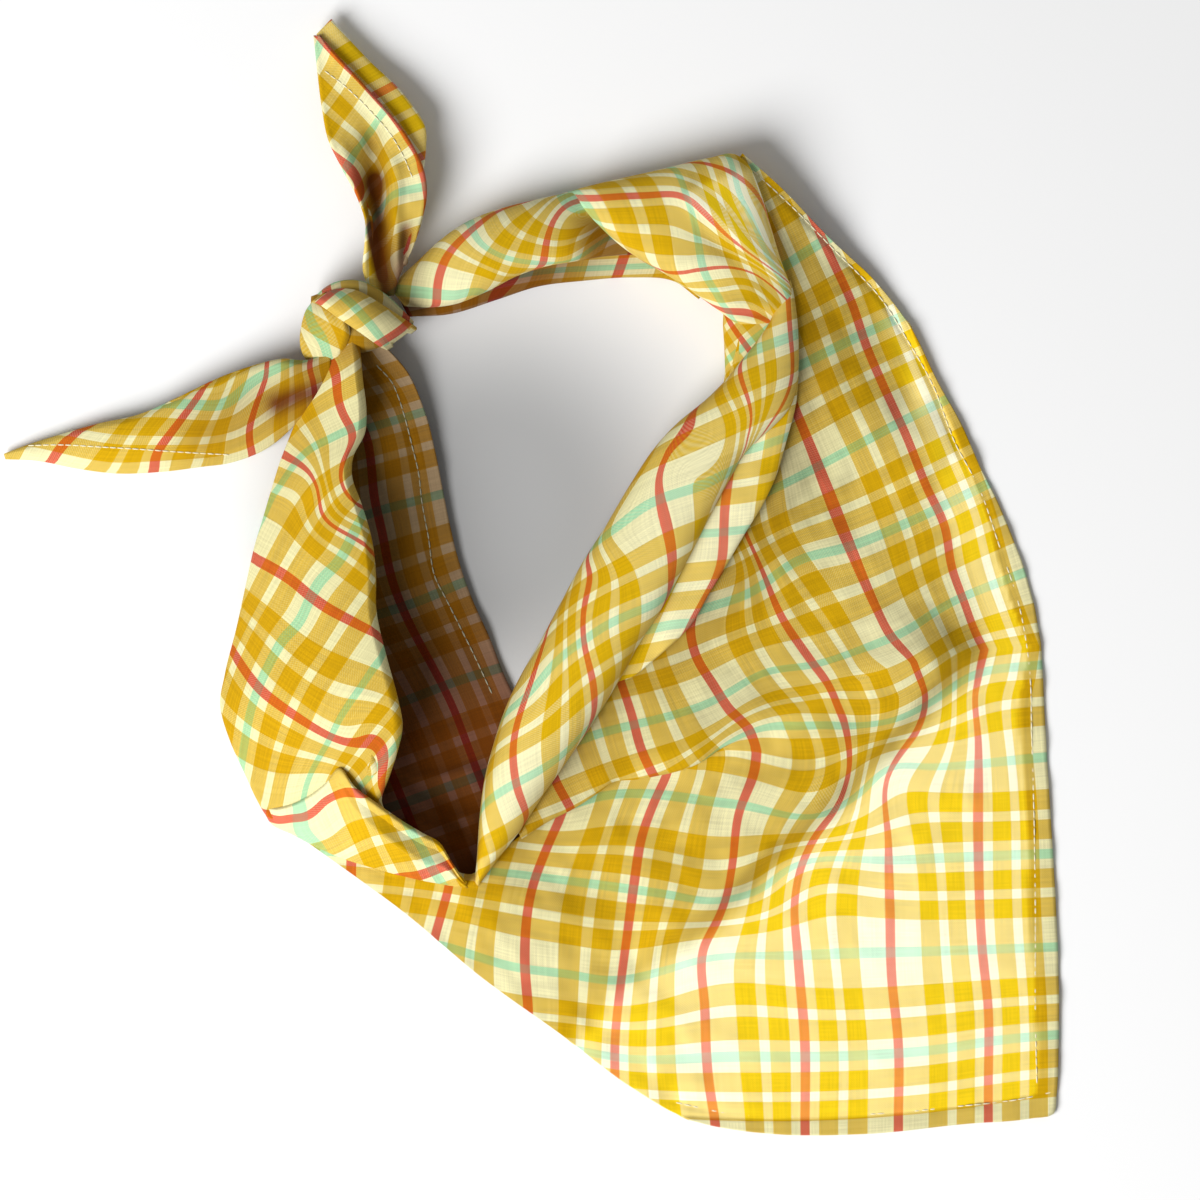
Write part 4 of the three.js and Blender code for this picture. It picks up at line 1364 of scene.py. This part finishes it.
BACK = (
    ((-56, 72, 9), (-45, 70, 11), (0, 0, 0)),
    ((-60, 60, 5), (-36.8, 60.5, 8), (0, 0, 0)),
    ((-62, 50, 3), (-32, 49.5, 5.5), (0.6, 0, 0)),
    ((-66, 39, 2), (-29.2, 39, 4.4), (1, 0, 0)),
    ((-70, 28, 1.4), (-27, 28, 3.6), (1.2, 0, 0)),
    ((-74, 16, 0.8), (-24.8, 17, 3), (1.4, 0, 0)),
    ((-78, 5, 0.6), (-22.2, 6, 2.8), (1.5, 0, 0)),
    ((-81, -6, 0.6), (-18.5, -5, 2.5), (1.3, 0, 0)),
    ((-84, -18, 0.6), (-12.5, -18.5, 2.2), (1, 0, 0)),
    ((-85, -30, 0.6), (-8, -30, 1.8), (0.8, 0, 0)),
    ((-84, -42, 0.6), (-2, -42, 1.4), (0.5, 0, 0)),
    ((-78, -60, 0.6), (4, -57, 0.8), (0.5, 0, 0)),
    ((-62, -80, 0.6), (8, -70, 0.6), (0.3, 0, 0)),
    ((-44, -89, 0.8), (2, -84, 0.8), (0, 0, 0)),
    ((-34, -95, 1.6), (-5, -94, 1.6), (0, 0, 0)),
)
BACK_REDS = {
    0: [(
        (-49, 41), (-48, 34), (-47, 23), (-45, 15), (-42, 0), (-39.6, -7), (-35, -17), (-29, -28),
        (-23.7, -38.7), (-18.8, -51.6),
    )],
    -0.831: [((-43.7, 67.8), (-36.8, 60), (-29.8, 41.4), (-26, 23), (-23, 8), (-16, -10), (-8, -30))],
    1: [((-78, 38), (-74, 10), (-66, -12), (-52, -38))],
}
BACK_MINTS = {
    0: [((-48, 45), (-33, 49.4))],
    1: [((-46, 20), (-27, 25))],
    2: [((-45.7, -11), (-33.5, -7), (-22, -2))],
    3: [((-38, -37), (-18, -29.6), (-11.4, -27.7))],
    4: [((-34, -66), (-12, -58))],
}
BACK_STITCHES = (
    (-46.5, 63.5), (-41.7, 58), (-40, 54), (-37.8, 47), (-35.8, 39), (-34, 31.5), (-33, 23), (-31, 12),
    (-29, 0), (-25.5, -7), (-18, -22), (-11, -37),
)
BACK_FOLDS = (
    (3.0, 2.5, 8.0, 0.2, ((-52, -50), (-40, -60), (-26, -60), (-12, -56))),
    (2.5, 2.5, 6.0, 0.2, ((-46, -62), (-36, -69), (-24, -73), (-13, -71))),
    (2.2, 2.0, 5.0, 0.2, ((-40, -72), (-32, -77), (-24, -80), (-15, -80))),
    (1.5, 5.0, 5.0, 0.2, ((-40, 52), (-44, 30), (-40, 8), (-30, -16))),
)


def pocket_painted_shade(y):
    """Painted shade over the back cloth: two layer steps where it lies near the knot, and more the deeper
    the pocket.
    """
    return 1.78 + 0.22 * smooth_rise(y, 20, -50)


class BANDANA_OT_left_arm(bpy.types.Operator):
    """The left arm: its front panel over a deep pocket, and the hemmed layer under it"""

    bl_idname = "bandana.left_arm"
    bl_label = "Left arm"

    def execute(self, context):
        grid = ribbon(FRONT, pitch=0.9, radius=2.2)
        fold_top(grid, FRONT_FOLDS, height=0.2, seed=11, length=14)
        places = cloth_place(grid, FRONT_REDS, FRONT_MINTS, stiffness=8.0)
        # Painted shade: the front panel is darkened as a layered sheet, and more near the knot.
        piece = make_sheet("front_panel", grid, places, 1.0 + 0.5 * smooth_rise(grid[:, :, 1], 56, 70))
        grid = ribbon(LIP, radius=1.2)
        fold_top(grid, LIP_FOLDS, height=0.15, seed=13, length=12)
        places = cloth_place(grid, LIP_REDS, LIP_MINTS, laid_flat=True, stiffness=4.0)
        piece = make_sheet("lower_lip", grid, places, layers_and_painted_shade=0.8)
        grid = ribbon(BACK)
        x, y = grid[:, :, 0], grid[:, :, 1]
        grid[:, :, 2] += lift_of(x, y, BACK_FOLDS) + ripple(x, y, height=0.15, seed=12, length=12)
        grid[:, :, 2] -= groove_of(x, y, 0.4, BACK_STITCHES)
        places = cloth_place(grid, BACK_REDS, BACK_MINTS, laid_flat=True)
        piece = make_sheet("back_layer", grid, places, pocket_painted_shade(y))
        stitches = make_stitches("back_hem_stitches", grid, BACK_STITCHES, dim=0.42)
        return {"FINISHED"}


# The knot and the tied ends

UPPER_WRAP = (
    ((-62.4, 84.2, 6), (-66, 80, 6), (1, 1, 1)),
    ((-58.8, 86, 15), (-64.5, 81.8, 16), (2, 2, 2)),
    ((-51.4, 85.2, 21), (-57.5, 77, 22.5), (2.5, 2, 2)),
    ((-44, 80.9, 22), (-50.5, 72.3, 23.5), (2.5, 2, 2)),
    ((-37, 76.4, 18), (-45.5, 68.8, 19), (2, 2, 2)),
    ((-34.4, 74.8, 9), (-43.7, 68, 9), (1, 1, 1)),
)
# The edge of the pass before, seen as a narrow rim above the upper wrap.
KNOT_RIM = (
    ((-66, 82, 7), (-63.5, 79.5, 9), (0.3, 1, 1)),
    ((-63, 85.6, 11.5), (-60, 82.5, 12.5), (0.8, 1, 1)),
    ((-58, 88.3, 14.5), (-56, 84, 15.5), (1, 1, 1)),
    ((-50.5, 88.3, 16.5), (-51, 83.6, 17.5), (1.2, 1, 1)),
    ((-44, 84.8, 16.5), (-46.6, 80.6, 17.5), (1.2, 1, 1)),
    ((-38.5, 79.8, 14), (-41, 76.6, 14.5), (1, 1, 1)),
    ((-35.2, 76.4, 9.5), (-37.4, 74.4, 9.5), (0.4, 0.6, 0.6)),
)
LOWER_WRAP = (
    ((-62, 85, 14), (-55, 80, 18), (1, 1, 1)),
    ((-67.3, 80, 13), (-54.5, 76, 20), (2, 2, 1)),
    ((-69.2, 73, 12), (-54, 72.5, 19), (2, 2, 1)),
    ((-68.5, 66.5, 9), (-56, 67, 14), (1.5, 2, 1)),
    ((-65, 63, 5), (-58, 62, 8), (1, 1, 1)),
)
KNOT_CORE = (
    ((-66, 84, 4), (-66, 76, 12)),
    ((-60, 86, 3), (-63, 70, 17)),
    ((-53, 87, 2), (-57, 67, 19)),
    ((-46, 84, 2), (-50, 67, 18)),
    ((-40, 79, 4), (-44, 69, 13)),
)
CORE_REDS = {0: [((-60, 90), (-60, 70))], 1: [((-32, 90), (-32, 70))]}
CORE_MINTS = {0: [((-66, 78), (-42, 76))], 1: [((-66, 50), (-42, 48))]}
UPPER_WRAP_REDS = {
    0: [((-61.6, 83), (-59.7, 85), (-56, 87))],
    1: [((-36, 77), (-38.5, 74), (-41.5, 72), (-45, 70))],
}
UPPER_WRAP_MINTS = {
    1: [((-57, 84), (-53.7, 81.7), (-50.7, 78), (-47, 74), (-45, 71))],
    2: [((-35, 96), (-25, 84))],
}
RIM_REDS = {0: [((-62, 86.4), (-60, 83))], 1: [((-37, 79), (-38.5, 75.4))]}
RIM_MINTS = {
    0: [((-66, 84), (-60, 89.5), (-50, 90), (-43, 86), (-36, 79))],
    -1: [((-66, 60), (-50, 58))],
}
LOWER_WRAP_REDS = {0: [((-63, 92), (-50, 84))], 1: [((-68, 64), (-56, 58))]}
LOWER_WRAP_MINTS = {0: [((-66.6, 79), (-65.5, 74), (-62, 71.5))], 1: [((-40, 79), (-40, 72))]}

SIDE_TAIL = (
    ((-60, 68, 12), (-60, 58, 10), (1, 3, 3)),
    ((-67, 65, 11.5), (-66, 51, 8), (2, 2, 3)),
    ((-75, 65.3, 11), (-73.5, 43, 5), (2.6, 2.5, 3)),
    ((-85, 62.8, 9.6), (-81, 37.6, 3.4), (3.4, 3, 4)),
    ((-94, 59.5, 8.6), (-90, 34.3, 2.6), (4, 3, 4)),
    ((-105, 54.3, 7.4), (-99, 33, 2.4), (4, 3, 4)),
    ((-117, 49, 6), (-110, 31.6, 2.2), (3.4, 3, 4)),
    ((-130, 46, 4.8), (-124, 31, 2.2), (2.6, 3, 3)),
    ((-143, 42.3, 3.4), (-137, 32.6, 2.2), (1.5, 3, 3)),
    ((-152, 39.4, 2.6), (-149, 34.9, 2.1), (0.5, 1.5, 1.5)),
    ((-158.3, 37, 2.2), (-157.8, 35.3, 2.1), (0, 0.8, 0.8)),
)
SIDE_REDS = {
    -1: [((-144.5, 34.5), (-142, 38), (-139.5, 40.5), (-137, 43), (-134, 45), (-131, 46))],
    0: [((-113, 31.5), (-113, 37), (-111, 39.5), (-108, 43), (-105, 47), (-102, 51), (-99, 55), (-97, 58))],
    1: [((-83.5, 36.5), (-84.5, 40), (-84.8, 44), (-83.5, 48), (-82, 53), (-79, 60))],
    2: [((-67, 62), (-65, 59))],
}
SIDE_MINTS = {
    0: [((-118, 51), (-110, 51.5), (-100, 51.5), (-92, 51), (-84, 58), (-72, 64))],
    -0.831: [(
        (-158, 35.5), (-150, 35), (-140, 33), (-127, 31), (-115, 31.5), (-100, 33), (-92, 34), (-82, 37),
        (-74, 42),
    )],
}
SIDE_STITCHES = ((-151, 39.4), (-141, 39.6), (-130, 39), (-118, 38.3), (-108, 37.6), (-98, 37), (-90, 36.6))
SIDE_FOLDS = (
    (1.8, 2.6, 8.0, 0.2, ((-62, 62), (-74, 57), (-88, 52), (-102, 47), (-116, 42), (-130, 39))),
    (-1.9, 2.8, 3.2, 0.2, ((-62, 57), (-73, 52.5), (-84, 48.5), (-96, 44), (-106, 41))),
    (1.4, 4.0, 4.0, 0.2, ((-68, 62), (-84, 59), (-98, 54), (-112, 48))),
)
UPPER_TAIL = (
    ((-48, 84, 13.5), (-41, 84, 13.5), (0, 0.6, 0.6)),
    ((-50.5, 92, 13.5), (-38.5, 92, 14), (-1, 1, 1)),
    ((-50, 99, 13.4), (-35.5, 98, 14.4), (-1.5, 1, 1)),
    ((-49.8, 106, 13.2), (-32.8, 106, 14.4), (-2, 1, 1.4)),
    ((-52.5, 114, 12.4), (-31.2, 114, 14.2), (-2, 1, 1.4)),
    ((-57, 122.5, 11), (-32.2, 122, 14), (-2, 1, 1.4)),
    ((-61, 131, 9.8), (-36, 130, 13.4), (-1.5, 1, 1.4)),
    ((-62.8, 140, 8.4), (-41.4, 137.5, 12.4), (-1, 1, 1.4)),
    ((-64, 149, 7), (-50, 147.2, 10.6), (-0.5, 1, 1.4)),
    ((-64.8, 156.5, 6), (-57.4, 155.4, 9), (0, 1, 1)),
    ((-65.4, 162.2, 5.5), (-63, 161.8, 7.4), (0, 0.5, 0.5)),
)
FLAP = (
    ((-64.6, 162.4, 5.2), (-60, 167.2, 5), (0, 0.5, 1)),
    ((-59, 155, 6.2), (-54.3, 160.7, 5.6), (0.4, 0.5, 3)),
    ((-53, 147, 7.4), (-47.3, 153.3, 6.6), (0.5, 0.5, 4)),
    ((-47, 140.5, 8.4), (-40.8, 147.3, 7.6), (0.5, 0.5, 4)),
    ((-42, 135, 9.2), (-35.6, 141, 8.6), (0.5, 0.5, 4)),
    ((-38.5, 129, 10), (-31.8, 134.6, 9.6), (0.4, 0.5, 3)),
    ((-37, 123, 10.4), (-31.6, 127.5, 10), (0.2, 0.5, 2)),
    ((-36, 118, 10.6), (-32.4, 121, 10.4), (0, 0.5, 1)),
)
FLAP_REDS = {
    0: [((-46.5, 144.4), (-40.5, 147.5))],
    -1: [((-66, 164), (-60, 168.5))],
    1: [((-37, 124), (-30, 127))],
}
FLAP_MINTS = {
    0: [((-62, 154), (-54.5, 147), (-48.5, 140.5), (-43.5, 134.5), (-39.5, 128.5))],
    1: [((-42, 174), (-34.5, 167), (-28.5, 160.5), (-23.5, 154.5), (-19.5, 148))],
}
UP_END_REDS = {
    1: [(
        (-64, 162), (-60, 157.8), (-56, 153.5), (-50, 147.3), (-46, 142.9), (-41.2, 137.3), (-37.5, 132.2),
        (-34.7, 128), (-32.6, 122), (-31.6, 116),
    )],
    2: [((-58.5, 126), (-57, 124), (-54, 122), (-52, 120), (-51, 117.5), (-50.3, 115.8), (-50.3, 113))],
    1.6: [((-49.8, 105), (-50, 99), (-50.4, 92))],
}
UP_END_MINTS = {
    0: [((-66, 154), (-63.5, 160), (-61, 165))],
    1: [((-56.5, 120), (-54.5, 124), (-52, 128), (-49.5, 131.5), (-47, 135), (-44.5, 139), (-42, 142))],
    2: [((-48, 106), (-44, 112), (-39, 115.3), (-36, 116), (-31.6, 116.4))],
}
UPPER_STITCHES = ((-62, 151.5), (-55, 146), (-48, 139), (-42, 132), (-38, 125), (-35.5, 119))
UPPER_FOLDS = (
    (-5.0, 3.6, 3.0, 0.22, (
        (-44, 84), (-44, 92), (-44.6, 101), (-46, 110), (-47, 120), (-47.5, 131), (-49, 142),
    )),
    (2.0, 2.6, 2.4, 0.2, ((-40, 88), (-40.5, 98), (-41, 108), (-40.5, 118), (-41.5, 128))),
    (-2.4, 1.6, 2.0, 0.2, ((-37.5, 88), (-38, 97), (-37, 106))),
    (1.6, 2.4, 2.4, 0.2, ((-49.6, 94), (-49, 104), (-51.5, 114), (-55, 124), (-58, 134))),
)

# A painted shade is how much darker it paints the cloth, counted as extra layer steps (less than nothing
# paints it lighter), how wide it is and its line.
SIDE_SHADES = (
    (0.5, 11, ((-60, 52), (-74, 50), (-88, 47), (-98, 43))),
    (0.7, 4, ((-60, 56), (-68, 55), (-76, 52))),
    (0.5, 4, ((-62, 64), (-70, 63.5))),
)
UPPER_SHADES = (
    (1.1, 3.6, ((-44, 82), (-44.3, 92), (-44.8, 100), (-46, 110), (-47, 118))),
    (0.5, 3.6, ((-47, 118), (-47, 126), (-47.6, 132))),
    (1.0, 2.6, ((-39, 86), (-38.3, 94), (-37.6, 100), (-37.4, 104))),
    (1.1, 1.2, ((-48.4, 105), (-47.6, 100), (-46, 94), (-45, 90))),
    (-0.7, 1.5, ((-50.4, 100), (-49.4, 95), (-48, 90), (-46.8, 86))),
)

# A tied end is its rows, folds, red and mint stripes, stitches, shades and flat size.
TIED_ENDS = {
    "side_end": (
        SIDE_TAIL, SIDE_FOLDS, SIDE_REDS, SIDE_MINTS, SIDE_STITCHES, SIDE_SHADES, (0.04, 0.1),
    ),
    "upper_end": (
        UPPER_TAIL, UPPER_FOLDS, UP_END_REDS, UP_END_MINTS, UPPER_STITCHES, UPPER_SHADES, (0.036, 0.08),
    ),
}


class BANDANA_OT_knot(bpy.types.Operator):
    """The knot: its inner turn, the two passes of cloth over it and the rim behind the upper one"""

    bl_idname = "bandana.knot"
    bl_label = "Knot"

    def execute(self, context):
        grid = tube(KNOT_CORE, twists=0.3, folds=4, depth=0.06)
        # The knot's layer values are painted shade between its turns.
        piece = make_sheet("knot_core", grid, cloth_place(grid, CORE_REDS, CORE_MINTS), layers_and_painted_shade=1.5)
        grid = ribbon(UPPER_WRAP, pitch=0.9, radius=1.5)
        places = cloth_place(grid, UPPER_WRAP_REDS, UPPER_WRAP_MINTS)
        piece = make_sheet("knot_upper_wrap", grid, places, layers_and_painted_shade=1.05)
        grid = ribbon(KNOT_RIM, pitch=0.9, radius=1.0)
        piece = make_sheet("knot_rim", grid, cloth_place(grid, RIM_REDS, RIM_MINTS), layers_and_painted_shade=1.2)
        grid = ribbon(LOWER_WRAP, pitch=0.9, radius=1.5)
        places = cloth_place(grid, LOWER_WRAP_REDS, LOWER_WRAP_MINTS)
        piece = make_sheet("knot_lower_wrap", grid, places, layers_and_painted_shade=1.1)
        return {"FINISHED"}


class BANDANA_OT_tied_ends(bpy.types.Operator):
    """The two tied ends, each folded along its length and stitched along its hem"""

    bl_idname = "bandana.tied_ends"
    bl_label = "Tied ends"

    def execute(self, context):
        for name, (table, folds, reds, mints, line, shades, flat) in TIED_ENDS.items():
            grid = ribbon(table, pitch=1.0, radius=1.4)
            fold_top(grid, folds, height=0.15, seed=21, length=10)
            # Painted shade along the tails' creases and by the knot, from the shades tables.
            layers_and_painted_shade = 0.85 + shade_of(grid[:, :, 0], grid[:, :, 1], shades)
            piece = make_sheet(name, grid, cloth_place(grid, reds, mints), layers_and_painted_shade)
            stitches = make_stitches(name + "_stitches", grid, line, length=2.0, thick=0.2)
        grid = ribbon(FLAP, pitch=1.0, radius=0.9)
        piece = make_sheet("upper_end_flap", grid, cloth_place(grid, FLAP_REDS, FLAP_MINTS), layers_and_painted_shade=0.3)
        return {"FINISHED"}


# The stage

FLOOR_LINES = 9  # lines of the table's mesh each way
WINDOW_PLACE = (-1.0, -0.85, 1.25)  # the soft light, in metres, turned to the middle of the table


class BANDANA_OT_stage(bpy.types.Operator):
    """A pale table, one large soft light from the lower left and a camera straight above"""

    bl_idname = "bandana.stage"
    bl_label = "Table, light and camera"

    def execute(self, context):
        stage = settings()
        half = stage.table_size / 2
        mesh = bpy.data.meshes.new("floor")
        step = np.linspace(-half, half, FLOOR_LINES)
        x, y = np.meshgrid(step, step, indexing="ij")
        points = np.stack([x, y, np.zeros_like(x)], axis=2).reshape(-1, 3)
        index = np.arange(FLOOR_LINES**2).reshape(FLOOR_LINES, FLOOR_LINES)
        corners = [index[:-1, :-1], index[1:, :-1], index[1:, 1:], index[:-1, 1:]]
        mesh.from_pydata(points, [], np.stack(corners, axis=2).reshape(-1, 4))
        floor = bpy.data.objects.new("floor", mesh)
        floor.data.materials.append(paper_floor())
        context.scene.collection.objects.link(floor)

        lamp = bpy.data.lights.new("window", "AREA")
        lamp.shape = "DISK"
        lamp.size = stage.light_size
        lamp.energy = stage.light_power
        window = bpy.data.objects.new("window", lamp)
        window.location = WINDOW_PLACE
        aim = -np.array(WINDOW_PLACE)
        lean = math.atan2(math.hypot(aim[0], aim[1]), -aim[2])
        window.rotation_euler = (lean, 0, math.atan2(aim[1], aim[0]) - math.pi / 2)
        context.scene.collection.objects.link(window)

        world = bpy.data.worlds.new("studio")
        world.use_nodes = True
        sky = world.node_tree.nodes["Background"]
        sky.inputs["Color"].default_value = (1, 1, 1, 1)
        sky.inputs["Strength"].default_value = stage.sky_strength
        context.scene.world = world

        lens = bpy.data.cameras.new("camera")
        lens.lens = lens.sensor_width * stage.camera_height / stage.frame_width
        lens.clip_end = 20
        camera = bpy.data.objects.new("camera", lens)
        camera.location = (stage.frame_x, stage.frame_y, stage.camera_height)
        context.scene.collection.objects.link(camera)
        context.scene.camera = camera
        context.scene.view_settings.view_transform = "Standard"
        return {"FINISHED"}


# Settings, panel and the run


def colour(name, description, default):
    """A property that holds a colour."""
    return bpy.props.FloatVectorProperty(
        name=name, description=description, default=default, size=3, min=0, max=1, subtype="COLOR"
    )


def amount(name, description, default, **limits):
    """A property that holds one number, with its limits or its unit."""
    return bpy.props.FloatProperty(name=name, description=description, default=default, **limits)


class BandanaSettings(bpy.types.PropertyGroup):
    """Colours of the threads, the painted shade tints, sizes of the weave, and the stage"""

    mustard_thread: colour("Mustard thread", "Colour of the mustard bands", (0.82, 0.56, 0.008))
    cream_thread: colour("Cream thread", "Colour of the cream bands", (1.0, 0.96, 0.68))
    red_thread: colour("Red thread", "Colour of the red stripes", (0.8, 0.115, 0.075))
    mint_thread: colour("Mint thread", "Colour of the mint stripes", (0.4, 0.84, 0.62))
    # The layered and deep tints paint shade into the cloth's colour, for light held back by layers and for
    # the pocket's shade.
    layered_painted_shade: colour("Layered tint", "How a second layer tints the cloth", (0.66, 0.65, 0.58))
    layered_painted_depth: amount(
        "Layered depth", "How much deeper a second layer makes the colours", 0.5, min=0, max=2
    )
    deep_painted_shade: colour("Deep tint", "How further layers and the pocket's depth tint it", (0.25, 0.115, 0.13))
    sewing_thread: colour("Sewing thread", "Colour of the hem stitches", (0.88, 0.82, 0.58))
    table_colour: colour("Table", "Colour of the table", (0.9, 0.9, 0.9))
    weave_pitch: amount("Weave pitch", "Length of one over and under of a thread, in millimetres", 0.66)
    weave_contrast: amount("Weave contrast", "How far one thread covers the other", 0.22, min=0, max=0.5)
    weave_relief: amount("Weave relief", "Height of the threads, in millimetres", 0.12)
    slub_width: amount("Slub width", "Width of an uneven thread, in millimetres", 0.5)
    slub_length: amount("Slub length", "Length of an uneven stretch of thread, in millimetres", 22.0)
    slub_strength: amount(
        "Slub strength", "How much lighter or darker an uneven thread is", 0.1, min=0, max=1
    )
    # Painted shadow on the table inside the loop.
    loop_painted_shadow: amount(
        "Loop tone", "How much of the light reaches the table inside the loop", 0.42, min=0, max=1
    )
    table_size: amount("Table size", "Side of the table", 6.0, unit="LENGTH")
    light_size: amount("Light size", "Width of the soft light", 1.3, unit="LENGTH")
    light_power: amount("Light power", "Power of the soft light", 47.0, unit="POWER")
    sky_strength: amount("Sky strength", "Light from all round", 0.27, min=0)
    camera_height: amount("Camera height", "Above the table", 3.0, unit="LENGTH")
    frame_width: amount("Frame width", "Table across the picture", 0.36, unit="LENGTH")
    frame_x: amount("Frame x", "Middle of the picture", 0.0211, unit="LENGTH")
    frame_y: amount("Frame y", "Middle of the picture", -0.0074, unit="LENGTH")


OPERATORS = (
    BANDANA_OT_stage,
    BANDANA_OT_apron,
    BANDANA_OT_neck_roll,
    BANDANA_OT_left_arm,
    BANDANA_OT_knot,
    BANDANA_OT_tied_ends,
)


class BANDANA_PT_panel(bpy.types.Panel):
    """Lists the bandana's pieces and its stage"""

    bl_idname = "BANDANA_PT_panel"
    bl_label = "Bandana"
    bl_space_type = "VIEW_3D"
    bl_region_type = "UI"
    bl_category = "Bandana"

    def draw(self, context):
        for operator in OPERATORS:
            self.layout.operator(operator.bl_idname)
        for key in BandanaSettings.__annotations__:
            self.layout.prop(context.scene.bandana, key)


CLASSES = (BandanaSettings, *OPERATORS, BANDANA_PT_panel)


def register():
    for each in CLASSES:
        bpy.utils.register_class(each)
    bpy.types.Scene.bandana = bpy.props.PointerProperty(type=BandanaSettings)


def unregister():
    del bpy.types.Scene.bandana
    for each in reversed(CLASSES):
        bpy.utils.unregister_class(each)


def main():
    register()
    bpy.ops.bandana.stage()
    bpy.ops.bandana.apron()
    bpy.ops.bandana.neck_roll()
    bpy.ops.bandana.left_arm()
    bpy.ops.bandana.knot()
    bpy.ops.bandana.tied_ends()


if __name__ == "__main__":
    main()
